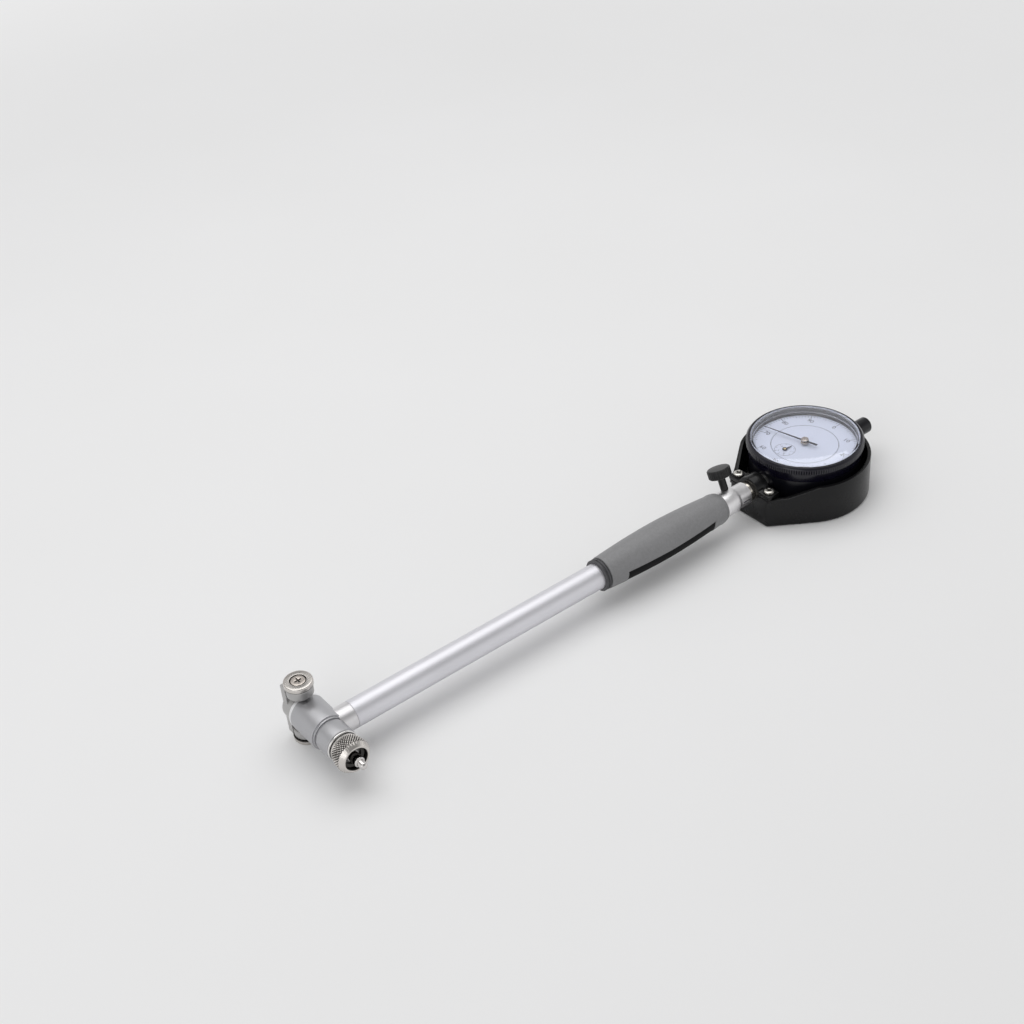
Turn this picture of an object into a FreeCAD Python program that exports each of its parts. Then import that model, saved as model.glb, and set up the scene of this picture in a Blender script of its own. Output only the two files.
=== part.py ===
import FreeCAD, Part
import math
import os

# Dial bore gauge, lying on its guide wheel and on the back of its guard.
# The model is drawn about the crossing of the measuring axis (Y) and the stem
# axis (X), with Z up, and is moved at the end so that the origin is at the
# centre of its box on the floor.

Vector = FreeCAD.Vector

# Clearances
RUN = 0.05          # radial clearance of a running fit
SLIP = 0.02         # radial clearance of a part that is set by hand
TOUCH = 0.08        # gap where two moving pieces push on each other
PLAY = 0.1          # axial play of a turning or sliding piece

# Measuring head
HEAD_R = 8.5
HEAD_RIM_Y = 16.4
HEAD_RIM_CHAMFER = 0.6
SHOULDER_Y = -2.6
SHOULDER_R = 7.9
SHOULDER_W = 1.0
GROOVE_R = 7.1
GROOVE_W = 0.8
NECK_R = 7.5
NECK_END_Y = -12.7
NECK_CHAMFER = 0.4
SPIGOT_R = 6.0
SPIGOT_L = 6.7
CAVITY_R = 5.5
CAVITY_FLOOR_Y = -1.6
CAVITY_END_Y = 8.0

# Contact plunger and its bush
TRAVEL = 1.6        # measuring travel of the contact
PLUNGER_R = 2.0
PLUNGER_NOSE_R = 0.7    # inner end that pushes on the crank
PLUNGER_NOSE_L = 2.6
PLUNGER_TIP_R = 1.6
PLUNGER_SHAFT_END_Y = 26.8
PLUNGER_END_Y = 29.4
BUSH_FLANGE_L = 2.4
BUSH_SLEEVE_R = 3.3
BUSH_END_Y = 16.8

# Bell crank between the plunger and the push rod
ARM = 3.2           # both arms of the crank
ARM_W = 1.0
CRANK_BALL_R = 0.8
CRANK_EYE_R = 1.5
CRANK_EYE_L = 5.2
CRANK_T = 2.0
CRANK_PIN_R = 0.8
CRANK_PIN_TOP_Z = 6.4

# Centring bridge with its two guide wheels
BRIDGE_TRAVEL = 3.0
HUB_R = 7.3
HUB_BORE_R = 5.2
HUB_INNER_Y = 11.2
HUB_WALL_Y = 20.0
HUB_END_Y = 24.4
HUB_DOME = 2.2
HUB_HOLE_R = 2.4
WEB_W = 12.0
BOSS_R = 6.0
BOSS_FOOT_Z = 9.3
WHEEL_Y = 17.6
WHEEL_R = 6.5
WHEEL_T = 2.3
WHEEL_FACE_Z = 16.0
WHEEL_CHAMFER = 0.5
WHEEL_RECESS_R = 3.7
WHEEL_RECESS_T = 1.0
SCREW_HEAD_R = 3.3
SCREW_HEAD_T = 0.85
SCREW_SHOULDER_R = 2.5
SCREW_THREAD_R = 1.4
SCREW_THREAD_L = 4.0
RECESS_W = 0.8
RECESS_L = 3.4
STOP_PIN_R = 0.8
STOP_PIN_Y = 13.4

# Anvil and its lock nut
ANVIL_R = 2.4
ANVIL_SHANK_L = 5.8
ANVIL_FLANGE_R = 4.6
ANVIL_FLANGE_T = 1.5
ANVIL_STEP_R = 1.75
ANVIL_STEP_Y = -26.2
ANVIL_TIP_Y = -30.2
ANVIL_TIP_R = 0.8
NUT_REAR_Y = -14.4
NUT_KNURL_END_Y = -21.6
NUT_FRONT_Y = -24.0
NUT_R = 8.0
NUT_REAR_R = 6.9
NUT_FRONT_R = 6.2
NUT_MOUTH_R = 4.9
NUT_HOLE_R = 3.9
NUT_RIDGES = 30
NUT_RIDGE_DEPTH = 0.25

# Stem
FERRULE_END_X = 13.0
FERRULE_SPIGOT_L = 9.0
EDGE_CHAMFER = 0.25
TUBE_R = 6.25
TUBE_BORE_R = 4.4
TUBE_END_X = 165.0
ROD_R = 1.5
ROD_COLLAR_X = 178.0
ROD_COLLAR_R = 3.0
ROD_COLLAR_L = 2.0
ROD_BUSH_X = 196.0
ROD_BUSH_L = 7.0

# Grip
GRIP_X = 152.4
GRIP_END_X = 227.0
GRIP_START_R = 8.0
GRIP_MID_X = 188.0
GRIP_MID_R = 9.6
GRIP_SHOULDER_X = 221.5
GRIP_SHOULDER_R = 7.9
GRIP_END_R = 7.0
GRIP_CORE_R = 5.5
RING_X = 149.2
RING_RIBS = 2
RING_RIB_R = 7.8
RING_GAP_R = 7.3
INSET_X = 161.5
INSET_END_X = 216.5
INSET_W = 9.5
INSET_ANGLE = -29.0     # below the horizontal, on the anvil side
INSET_FLOOR_R = 6.3
INSET_SUNK = 0.25

# Clamp for the indicator's stem
COLLAR_SHANK_X = 205.0
COLLAR_SHANK_R = 5.9
COLLAR_BORE_R = 3.2
COLLAR_R = 6.5
COLLAR_STEP_X = 234.5
COLLAR_STEP_L = 2.5
COLLAR_NOSE_R = 5.7
COLLAR_END_X = 243.5
SLEEVE_X = 229.2
SLEEVE_END_X = 252.0
SLEEVE_R = 5.0
SLIT_W = 0.7
SLIT_L = 6.0
THUMB_X = 233.0
THUMB_ANGLE = 65.0      # above the horizontal, on the contact side
THUMB_THREAD_R = 1.5
THUMB_POST_R = 1.9
THUMB_KNOB_R = 5.8
THUMB_KNOB_FROM = 13.2
THUMB_KNOB_T = 4.6
THUMB_RIDGES = 24
THUMB_RIDGE_DEPTH = 0.3

# Indicator
CASE_FRONT_X = 257.5    # side of the case that faces the handle
STEM_R = 4.0
STEM_END_X = 231.0
STEM_BITE = 3.4         # how far the stem enters the case wall
SPINDLE_R = 2.1
POINT_TIP_X = 215.0
POINT_SHOULDER_R = 2.4
POINT_L = 7.0
SPINDLE_OUT = 4.5       # beyond the case
CASE_R = 27.5
CASE_WALL = 1.8
CASE_BACK_Z = -7.4
CASE_SHOULDER_Z = 5.5
CASE_SHOULDER_W = 0.9
CASE_COLLAR_Z = 7.6
DECK_Z = 3.8
DECK_T = 1.2
BACK_Z = -9.0
LUG_Z = -14.2
LUG_L = 16.0
LUG_W = 5.0
LUG_HOLE_R = 1.9
BACK_SCREWS = 4
BACK_SCREW_L = 4.0      # length in the case
SMALL_SCREW_R = 0.8
SMALL_HEAD_R = 1.5
SMALL_HEAD_T = 0.8
CAP_R = 4.2
CAP_BOSS_R = 5.2
CAP_L = 17.5            # beyond the case
CAP_WALL = 0.9

# Bezel, crystal and dial
BEZEL_WALL = 1.4        # of the skirt, outside the case's collar
BEZEL_FLARE = 0.2
BEZEL_KNURL_H = 0.8
BEZEL_STEP = 0.4        # the bore outside the case's collar
BEZEL_KNURL_Z = 10.4
BEZEL_KNURL_TOP_Z = 12.9
BEZEL_TOP_Z = 14.0
BEZEL_RIDGES = 60
BEZEL_RIDGE_DEPTH = 0.25
LEDGE_W = 2.1
LEDGE_Z = 7.7
DIAL_Z = 8.1
DIAL_T = 0.5
DIAL_RING_W = 10.3
DIAL_GAP = 0.12
DISC_EDGE_W = 1.3       # outside the foot
DISC_FOOT_W = 1.4
CRYSTAL_WALL = 1.0
CRYSTAL_EDGE_Z = 14.4
CRYSTAL_TOP_Z = 15.6
CRYSTAL_T = 1.2

# Movement
RACK_PITCH = 0.625
RACK_PINION_TEETH = 16
WHEEL_TEETH = 100
PINION_TEETH = 10
WHEEL_MARGIN = 4.7      # from a large wheel's pitch line to the case's wall
TOOTH_DEPTH = 0.3
TOOTH_GAP = 0.1         # between a tooth's tip and the root that it faces
RACK_FROM = -20.0       # along the stem, from the dial's centre
RACK_TO = 4.0
RACK_PINION_T = 2.4
GEAR_Z = 2.6
GEAR_T = 0.6
ARBOR_R = 0.6
BRIDGE_PLATE_Z = -5.4
BRIDGE_PLATE_T = 1.0
PIVOT_FLOOR = 0.4       # of a blind pivot hole in a plate
PILLAR_R = 1.6
PILLAR_TOWARDS = ((-19.0, 12.5), (17.0, 12.0), (5.0, -21.0))
PILLAR_MARGINS = (2.95687, 4.89135, 4.11297)
TAKE_UP_ANGLE = -43.0   # of the take-up wheel about the dial's centre
HAIRSPRING_TURNS = 4
HAIRSPRING_R = 5.4
HAIRSPRING_W = 0.15
HAIRSPRING_H = 0.7

# Hands
POINTER_ANGLE = 102.0   # from the twelve o'clock line, anticlockwise
POINTER_MARGIN = 3.5    # from the tip to the bezel's bore
POINTER_TAIL = 7.0
POINTER_W = 0.7
POINTER_Z = 10.4
POINTER_T = 0.3
POINTER_HUB_R = 2.3
POINTER_HUB_Z = 9.5
POINTER_HUB_TOP_Z = 11.6
COUNTER_L = 3.9
COUNTER_Z = 8.95
COUNTER_T = 0.25

# Guard round the indicator
GUARD_GAP = 3.4         # round the case
GUARD_WALL = 1.6
GUARD_BACK_Z = -16.0
GUARD_RIM_Z = 5.0
GUARD_LOW_Z = 0.0
GUARD_SLOPE_FROM_X = 268.0
GUARD_SLOPE_TO_X = 255.0
NECK_HALF_W = 12.5
SADDLE_X = 246.4
SADDLE_L = 7.1
SADDLE_R = 7.0
SADDLE_EAR_EDGE = 3.2   # of the ear, outside the screw's axis
SADDLE_EAR_T = 2.2
SADDLE_GAP = 0.3
TROUGH_HALF_W = 7.4
CAP_NOTCH_W = 5.4
CAP_NOTCH_DEPTH = 4.0
GUARD_SCREW_R = 1.5
GUARD_HEAD_R = 2.7
GUARD_HEAD_GAP = 0.7    # between a screw's head and the saddle's arch
GUARD_HEAD_T = 1.5
GUARD_SCREW_L = 6.0

# Springs
COIL_STEPS = 16         # straight lengths in a turn of wire
COIL_SIDES = 6
WIRE_R = 0.35
BRIDGE_SPRING_R = 4.25
BRIDGE_SPRING_TURNS = 5
ROD_SPRING_R = 2.6
ROD_SPRING_TURNS = 6
SPINDLE_SPRING_R = 1.3
SPINDLE_SPRING_WIRE_R = 0.2
SPINDLE_SPRING_TURNS = 7
SPINDLE_SPRING_Y = -8.5
SPINDLE_SPRING_FROM = -17.0
SPINDLE_SPRING_L = 16.0
SPRING_POST_R = 0.7

# Places worked out from the sizes above
FERRULE_SEAT_X = math.sqrt(HEAD_R ** 2 - TUBE_R ** 2) - 0.06
SPIGOT_END_Y = NECK_END_Y - SPIGOT_L
PUSH_Y = ARM + CRANK_BALL_R + TOUCH
CASE_BORE_R = CASE_R - CASE_WALL
CASE_COLLAR_R = CASE_R - CASE_SHOULDER_W
DIAL_X = CASE_FRONT_X + CASE_R
SPINDLE_TOP = CASE_R + SPINDLE_OUT      # beyond the dial's centre
CAP_END = CASE_R + CAP_L                # beyond the dial's centre
BEZEL_SKIRT_R = CASE_COLLAR_R + BEZEL_WALL
BEZEL_R = BEZEL_SKIRT_R + BEZEL_FLARE
BEZEL_KNURL_R = BEZEL_R + BEZEL_KNURL_H
BEZEL_BORE_R = CASE_COLLAR_R + BEZEL_STEP
LEDGE_R = BEZEL_BORE_R - LEDGE_W
DIAL_DISC_R = BEZEL_BORE_R - DIAL_RING_W
DISC_FOOT_R = DIAL_DISC_R - DISC_EDGE_W - DISC_FOOT_W
DIAL_TOP_Z = DIAL_Z + DIAL_T
POINTER_L = BEZEL_BORE_R - POINTER_MARGIN
GUARD_R = CASE_R + GUARD_GAP + GUARD_WALL
GUARD_SCREW_Y = SADDLE_R + GUARD_HEAD_R + GUARD_HEAD_GAP
SADDLE_EAR_W = GUARD_SCREW_Y + SADDLE_EAR_EDGE
WHEEL_PITCH_R = (CASE_BORE_R - WHEEL_MARGIN) / (2 + PINION_TEETH / WHEEL_TEETH)
PINION_PITCH_R = WHEEL_PITCH_R * PINION_TEETH / WHEEL_TEETH
RACK_PINION_PITCH_R = RACK_PITCH * RACK_PINION_TEETH / (2 * math.pi)
CENTRE_DISTANCE = WHEEL_PITCH_R + PINION_PITCH_R
RACK_LINE_Y = SPINDLE_R - TOOTH_DEPTH / 2 - 0.25
SIDE_Y = RACK_LINE_Y + RACK_PINION_PITCH_R
SIDE_X = DIAL_X - math.sqrt(CENTRE_DISTANCE ** 2 - SIDE_Y ** 2)
TAKE_UP_X = DIAL_X + CENTRE_DISTANCE * math.cos(math.radians(TAKE_UP_ANGLE))
TAKE_UP_Y = CENTRE_DISTANCE * math.sin(math.radians(TAKE_UP_ANGLE))
WHEEL_BACK_Z = WHEEL_FACE_Z - WHEEL_T
BOX_FROM_X = -HEAD_R
BOX_TO_X = DIAL_X + CAP_END
TO_ROW = Vector(-(BOX_FROM_X + BOX_TO_X) / 2, 0, WHEEL_FACE_Z)

TURNS = {
    "X": (Vector(0, 1, 0), 90),
    "Y": (Vector(1, 0, 0), -90),
    "Z": (Vector(0, 0, 1), 0),
}


def lay(shape, axis, at=(0, 0, 0)):
    """Turn a shape that was drawn along Z onto an axis, and move it."""
    about, angle = TURNS[axis]
    laid = shape.copy()
    laid.rotate(Vector(0, 0, 0), about, angle)
    laid.translate(Vector(*at))
    return laid


def turned(axis, outline, at=(0, 0, 0)):
    """Revolve an outline of (along, radius) points; a pair of points is an arc."""
    start = outline[0]
    here = Vector(start[1], 0, start[0])
    first = here
    edges = []
    for step in list(outline[1:]) + [start]:
        if isinstance(step[0], tuple):
            mid, end = [Vector(r, 0, along) for along, r in step]
            edges.append(Part.Arc(here, mid, end).toShape())
            here = end
        else:
            end = first if step is start else Vector(step[1], 0, step[0])
            if end.distanceToPoint(here) > 1e-7:
                edges.append(Part.LineSegment(here, end).toShape())
            here = end
    face = Part.Face(Part.Wire(edges))
    return lay(face.revolve(Vector(0, 0, 0), Vector(0, 0, 1), 360), axis, at)


def rod(axis, r, start, end, at=(0, 0, 0)):
    """A plain cylinder between two places along an axis."""
    drawn = Part.makeCylinder(r, end - start, Vector(0, 0, start))
    return lay(drawn, axis, at)


def pipe(axis, r, bore, start, end, at=(0, 0, 0)):
    """A plain tube between two places along an axis."""
    return rod(axis, r, start, end, at).cut(rod(axis, bore, start - 1, end + 1, at))


def block(low, high):
    """A box between its lowest and its highest corner."""
    size = Vector(*high) - Vector(*low)
    return Part.makeBox(size.x, size.y, size.z, Vector(*low))


def plate(points, z, t):
    """Extrude a closed outline of (x, y) points upwards from z."""
    corners = [Vector(x, y, z) for x, y in points]
    return Part.Face(Part.makePolygon(corners + [corners[0]])).extrude(Vector(0, 0, t))


def flat(corners):
    """A flat face with straight edges."""
    return Part.Face(Part.makePolygon(corners + corners[:1]))


def coil(axis, r, wire_r, start, end, turns, at=(0, 0, 0)):
    """A wire wound round an axis between two places, in short straight lengths."""
    length = end - start - 2 * wire_r
    steps = round(COIL_STEPS * turns)
    rings = []
    for step in range(steps + 1):
        angle = 2 * math.pi * step / COIL_STEPS
        middle = start + wire_r + length * step / steps
        ring = []
        for side in range(COIL_SIDES):
            around = 2 * math.pi * side / COIL_SIDES
            out = r + wire_r * math.cos(around)
            ring.append(Vector(out * math.cos(angle), out * math.sin(angle),
                               middle + wire_r * math.sin(around)))
        rings.append(ring)
    faces = [flat(rings[0]), flat(rings[-1])]
    for ring, following in zip(rings, rings[1:]):
        for side in range(COIL_SIDES):
            beside = (side + 1) % COIL_SIDES
            faces.append(flat([ring[side], ring[beside], following[side]]))
            faces.append(flat([ring[beside], following[beside], following[side]]))
    return lay(Part.Solid(Part.Shell(faces)), axis, at)


def toothed(teeth, pitch_r, z, t, at, facing):
    """A spur wheel with one of its tooth tips towards the angle facing."""
    tip_r = pitch_r + TOOTH_DEPTH / 2
    root_r = pitch_r - TOOTH_DEPTH / 2 - TOOTH_GAP
    points = []
    for n in range(teeth):
        middle = facing + 2 * math.pi * n / teeth
        for part, r in ((-0.30, root_r), (-0.07, tip_r), (0.07, tip_r), (0.30, root_r)):
            angle = middle + part * 2 * math.pi / teeth
            points.append((at[0] + r * math.cos(angle), at[1] + r * math.sin(angle)))
    return plate(points, z, t)


def ridged(body, axis, r, depth, count, start, end, at=(0, 0, 0)):
    """Cut shallow grooves along a turned piece, evenly round its rim."""
    half = math.pi * r / count / 2
    cutter = Part.makePolygon([
        Vector(r - depth, 0, start), Vector(r + depth, -2 * half, start),
        Vector(r + depth, 2 * half, start), Vector(r - depth, 0, start)])
    groove = Part.Face(cutter).extrude(Vector(0, 0, end - start))
    grooves = []
    for n in range(count):
        one = groove.copy()
        one.rotate(Vector(0, 0, 0), Vector(0, 0, 1), 360 * n / count)
        grooves.append(lay(one, axis, at))
    return body.cut(Part.makeCompound(grooves))


def cross_recess(z, depth, at):
    """The cutter of a cross recess in a screw head that faces up."""
    half, arm = RECESS_W / 2, RECESS_L / 2
    one = block((-arm, -half, z), (arm, half, z + depth))
    two = block((-half, -arm, z), (half, arm, z + depth))
    both = one.fuse(two)
    both.translate(Vector(at[0], at[1], 0))
    return both


def mirrored_down(shape):
    """The same piece on the lower side of the stem axis."""
    return shape.mirror(Vector(0, 0, 0), Vector(0, 0, 1))


# Measuring head

def head_body():
    """Barrel, neck and threaded spigot, bored for the plunger, bridge and crank."""
    groove_y = SHOULDER_Y - SHOULDER_W
    outline = [
        (SPIGOT_END_Y, 0), (SPIGOT_END_Y, SPIGOT_R), (NECK_END_Y, SPIGOT_R),
        (NECK_END_Y, NECK_R - NECK_CHAMFER), (NECK_END_Y + NECK_CHAMFER, NECK_R),
        (groove_y - GROOVE_W, NECK_R), (groove_y - GROOVE_W, GROOVE_R),
        (groove_y, GROOVE_R), (groove_y, SHOULDER_R), (SHOULDER_Y, SHOULDER_R),
        (SHOULDER_Y, HEAD_R - NECK_CHAMFER), (SHOULDER_Y + NECK_CHAMFER, HEAD_R),
        (HEAD_RIM_Y - HEAD_RIM_CHAMFER, HEAD_R), (HEAD_RIM_Y, HEAD_R - HEAD_RIM_CHAMFER),
        (HEAD_RIM_Y, 0)]
    body = turned("Y", outline)
    body = body.cut(rod("Y", CAVITY_R, CAVITY_FLOOR_Y, CAVITY_END_Y))
    body = body.cut(rod("Y", HUB_R + RUN, CAVITY_END_Y, HEAD_RIM_Y + 1))
    body = body.cut(rod("Y", ANVIL_R + SLIP, SPIGOT_END_Y - 1, SPIGOT_END_Y + ANVIL_SHANK_L + PLAY))
    body = body.cut(rod("X", TUBE_R, FERRULE_SEAT_X, HEAD_R + 1))
    body = body.cut(rod("X", ROD_R + 2 * RUN, 0, HEAD_R))
    body = body.cut(rod("Z", CRANK_PIN_R, -HEAD_R, CRANK_PIN_TOP_Z, (ARM, ARM, 0)))
    return body.cut(rod("Z", STOP_PIN_R, -HEAD_R, -HUB_R, (0, STOP_PIN_Y, 0)))


def plunger_bush():
    """Flanged bush that guides the plunger and carries the bridge's spring."""
    bore = PLUNGER_R + RUN
    flange_y = CAVITY_END_Y - BUSH_FLANGE_L
    return turned("Y", [
        (flange_y, bore), (flange_y, CAVITY_R), (CAVITY_END_Y, CAVITY_R),
        (CAVITY_END_Y, BUSH_SLEEVE_R), (BUSH_END_Y, BUSH_SLEEVE_R), (BUSH_END_Y, bore)])


def contact_plunger():
    """Sliding contact with its round hard tip."""
    cone_y = PLUNGER_END_Y - PLUNGER_TIP_R
    slant = PLUNGER_TIP_R * math.sin(math.radians(45))
    nose_y = PUSH_Y + PLUNGER_NOSE_L
    return turned("Y", [
        (PUSH_Y, 0), (PUSH_Y, PLUNGER_NOSE_R), (nose_y, PLUNGER_NOSE_R),
        (nose_y, PLUNGER_R - EDGE_CHAMFER), (nose_y + EDGE_CHAMFER, PLUNGER_R),
        (PLUNGER_SHAFT_END_Y, PLUNGER_R), (cone_y, PLUNGER_TIP_R),
        ((cone_y + slant, slant), (PLUNGER_END_Y, 0))])


def crank_pin():
    """Pin of the bell crank, pressed in from below."""
    reach = math.sqrt(HEAD_R ** 2 - ARM ** 2) - PLAY
    return rod("Z", CRANK_PIN_R, -reach, CRANK_PIN_TOP_Z, (ARM, ARM, 0))


def bell_crank():
    """Right-angled lever that turns the plunger's stroke into the rod's."""
    low, high = -CRANK_T / 2, CRANK_T / 2
    half = ARM_W / 2
    eye = CRANK_EYE_L / 2
    crank = rod("Z", CRANK_EYE_R, -eye, eye, (ARM, ARM, 0))
    crank = crank.fuse(block((0, ARM - half, low), (ARM, ARM + half, high)))
    crank = crank.fuse(block((ARM - half, 0, low), (ARM + half, ARM, high)))
    crank = crank.fuse(rod("Z", CRANK_BALL_R, low, high, (0, ARM, 0)))
    crank = crank.fuse(rod("Z", CRANK_BALL_R, low, high, (ARM, 0, 0)))
    crank = crank.cut(rod("Z", CRANK_PIN_R + RUN, -eye - 1, eye + 1, (ARM, ARM, 0)))
    return crank.removeSplitter()


def bridge_stop_pin():
    """Pin in the barrel that keeps the bridge from turning or leaving."""
    return rod("Z", STOP_PIN_R, PLAY - HEAD_R, -HUB_BORE_R - 0.4, (0, STOP_PIN_Y, 0))


def centring_bridge():
    """Sliding hub with a web and two bosses that carry the guide wheels."""
    mid = math.radians(45)
    dome_r = HUB_R - HUB_DOME
    body = turned("Y", [
        (HUB_INNER_Y, HUB_BORE_R), (HUB_INNER_Y, HUB_R), (HUB_END_Y - HUB_DOME, HUB_R),
        ((HUB_END_Y - HUB_DOME * (1 - math.sin(mid)), dome_r + HUB_DOME * math.cos(mid)),
         (HUB_END_Y, dome_r)),
        (HUB_END_Y, HUB_HOLE_R), (HUB_WALL_Y, HUB_HOLE_R), (HUB_WALL_Y, HUB_BORE_R)])
    boss_top = WHEEL_BACK_Z - PLAY
    web_y = HEAD_RIM_Y + BRIDGE_TRAVEL + 4 * PLAY
    web = block((-WEB_W / 2, web_y, -boss_top), (WEB_W / 2, HUB_END_Y - HUB_DOME / 2, boss_top))
    web = web.cut(rod("Y", HUB_BORE_R, web_y - 1, HUB_WALL_Y))
    web = web.cut(rod("Y", HUB_HOLE_R, web_y, HUB_END_Y + 1))
    body = body.fuse(web)
    for side in (1, -1):
        low, high = sorted((side * BOSS_FOOT_Z, side * boss_top))
        body = body.fuse(rod("Z", BOSS_R, low, high, (0, WHEEL_Y, 0)))
    body = body.removeSplitter()
    for side in (1, -1):
        low, high = sorted((side * (boss_top - SCREW_THREAD_L), side * (boss_top + 1)))
        body = body.cut(rod("Z", SCREW_THREAD_R, low, high, (0, WHEEL_Y, 0)))
    half = STOP_PIN_R + PLAY
    slot = block((-half, STOP_PIN_Y - half, -HUB_R - 1),
                 (half, STOP_PIN_Y + half + BRIDGE_TRAVEL, -HUB_BORE_R + 0.8))
    return body.cut(slot)


def guide_wheel():
    """Upper guide wheel: a thick disc, recessed for its screw."""
    c = WHEEL_CHAMFER
    face, back = WHEEL_FACE_Z, WHEEL_BACK_Z
    bore = SCREW_SHOULDER_R + RUN
    return turned("Z", [
        (back, bore), (back, WHEEL_R - c), (back + c, WHEEL_R), (face - c, WHEEL_R),
        (face, WHEEL_R - c), (face, WHEEL_RECESS_R), (face - WHEEL_RECESS_T, WHEEL_RECESS_R),
        (face - WHEEL_RECESS_T, bore)], (0, WHEEL_Y, 0))


def wheel_screw():
    """Shoulder screw that a guide wheel turns on."""
    seat = WHEEL_BACK_Z - PLAY
    head = WHEEL_FACE_Z - WHEEL_RECESS_T + PLAY / 2
    top = head + SCREW_HEAD_T
    screw = turned("Z", [
        (seat - SCREW_THREAD_L, 0), (seat - SCREW_THREAD_L, SCREW_THREAD_R),
        (seat, SCREW_THREAD_R), (seat, SCREW_SHOULDER_R), (head, SCREW_SHOULDER_R),
        (head, SCREW_HEAD_R), (top - EDGE_CHAMFER, SCREW_HEAD_R),
        (top, SCREW_HEAD_R - EDGE_CHAMFER), (top, 0)], (0, WHEEL_Y, 0))
    return screw.cut(cross_recess(top - SCREW_HEAD_T / 2, 1, (0, WHEEL_Y)))


def wheel_screws():
    """The two shoulder screws, one on each side of the bridge."""
    one = wheel_screw()
    return Part.makeCompound([one, mirrored_down(one)])


def anvil():
    """Fixed measuring anvil with its clamping flange and stepped tip."""
    seat = SPIGOT_END_Y
    front = seat - ANVIL_FLANGE_T
    return turned("Y", [
        (seat + ANVIL_SHANK_L, 0), (seat + ANVIL_SHANK_L, ANVIL_R), (seat, ANVIL_R),
        (seat, ANVIL_FLANGE_R), (front, ANVIL_FLANGE_R), (front, ANVIL_R),
        (ANVIL_STEP_Y + EDGE_CHAMFER, ANVIL_R), (ANVIL_STEP_Y, ANVIL_R - EDGE_CHAMFER),
        (ANVIL_STEP_Y, ANVIL_STEP_R), (ANVIL_TIP_Y + ANVIL_TIP_R, ANVIL_STEP_R),
        (ANVIL_TIP_Y, ANVIL_STEP_R - ANVIL_TIP_R), (ANVIL_TIP_Y, 0)])


def anvil_lock_nut():
    """Domed knurled nut that holds the anvil's flange against the spigot."""
    shelf_y = SPIGOT_END_Y - ANVIL_FLANGE_T - TOUCH
    middle_y = (NUT_REAR_Y + NUT_KNURL_END_Y) / 2
    middle_r = (NUT_R + NUT_REAR_R) / 2 + 0.45
    nut = turned("Y", [
        (NUT_REAR_Y, SPIGOT_R + RUN), (NUT_REAR_Y, NUT_REAR_R - EDGE_CHAMFER),
        (NUT_REAR_Y - EDGE_CHAMFER, NUT_REAR_R),
        ((middle_y, middle_r), (NUT_KNURL_END_Y, NUT_R)),
        (NUT_FRONT_Y, NUT_FRONT_R), (NUT_FRONT_Y, NUT_MOUTH_R),
        (NUT_FRONT_Y + NUT_MOUTH_R - NUT_HOLE_R, NUT_HOLE_R), (shelf_y, NUT_HOLE_R),
        (shelf_y, ANVIL_FLANGE_R + PLAY), (SPIGOT_END_Y - 2 * PLAY, ANVIL_FLANGE_R + PLAY),
        (SPIGOT_END_Y - 2 * PLAY, SPIGOT_R + RUN)])
    return ridged(nut, "Y", NUT_R, NUT_RIDGE_DEPTH, NUT_RIDGES, NUT_KNURL_END_Y, middle_y)


# Stem and grip

def tube_ferrule():
    """Short polished band between the head and the tube, bored for the rod."""
    c = EDGE_CHAMFER
    bore = ROD_R + RUN
    return turned("X", [
        (FERRULE_SEAT_X, bore), (FERRULE_SEAT_X, TUBE_R), (FERRULE_END_X - c, TUBE_R),
        (FERRULE_END_X, TUBE_R - c), (FERRULE_END_X, TUBE_BORE_R),
        (FERRULE_END_X + FERRULE_SPIGOT_L, TUBE_BORE_R), (FERRULE_END_X + FERRULE_SPIGOT_L, bore)])


def tube():
    """Long plain tube."""
    c = EDGE_CHAMFER
    return turned("X", [
        (FERRULE_END_X, TUBE_BORE_R), (FERRULE_END_X, TUBE_R - c), (FERRULE_END_X + c, TUBE_R),
        (TUBE_END_X, TUBE_R), (TUBE_END_X, TUBE_BORE_R)])


def push_rod():
    """Rod from the bell crank to the indicator, with a collar for its spring."""
    end_x = POINT_TIP_X - TOUCH
    return turned("X", [
        (PUSH_Y, 0), (PUSH_Y, ROD_R - EDGE_CHAMFER), (PUSH_Y + EDGE_CHAMFER, ROD_R),
        (ROD_COLLAR_X, ROD_R), (ROD_COLLAR_X, ROD_COLLAR_R),
        (ROD_COLLAR_X + ROD_COLLAR_L, ROD_COLLAR_R), (ROD_COLLAR_X + ROD_COLLAR_L, ROD_R),
        (end_x - EDGE_CHAMFER, ROD_R), (end_x, ROD_R - EDGE_CHAMFER), (end_x, 0)])


def rod_bush():
    """Bush in the handle that guides the rod's far end."""
    return pipe("X", GRIP_CORE_R, ROD_R + RUN, ROD_BUSH_X, ROD_BUSH_X + ROD_BUSH_L)


def grip_outline(less=0.0):
    """Outer points of the grip, optionally with a smaller radius."""
    late_x = (GRIP_MID_X + GRIP_SHOULDER_X) / 2
    late_r = GRIP_MID_R - (GRIP_MID_R - GRIP_SHOULDER_R) * 0.3
    early_x = (GRIP_X + GRIP_MID_X) / 2
    early_r = GRIP_MID_R - (GRIP_MID_R - GRIP_START_R) * 0.28
    drop = (GRIP_SHOULDER_R - GRIP_END_R) * 0.32
    round_x = GRIP_SHOULDER_X + (GRIP_END_X - GRIP_SHOULDER_X) * 0.72
    return [
        (GRIP_X, GRIP_START_R - less),
        ((early_x, early_r - less), (GRIP_MID_X, GRIP_MID_R - less)),
        ((late_x, late_r - less), (GRIP_SHOULDER_X, GRIP_SHOULDER_R - less)),
        ((round_x, GRIP_SHOULDER_R - drop - less), (GRIP_END_X, GRIP_END_R - less))]


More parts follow.
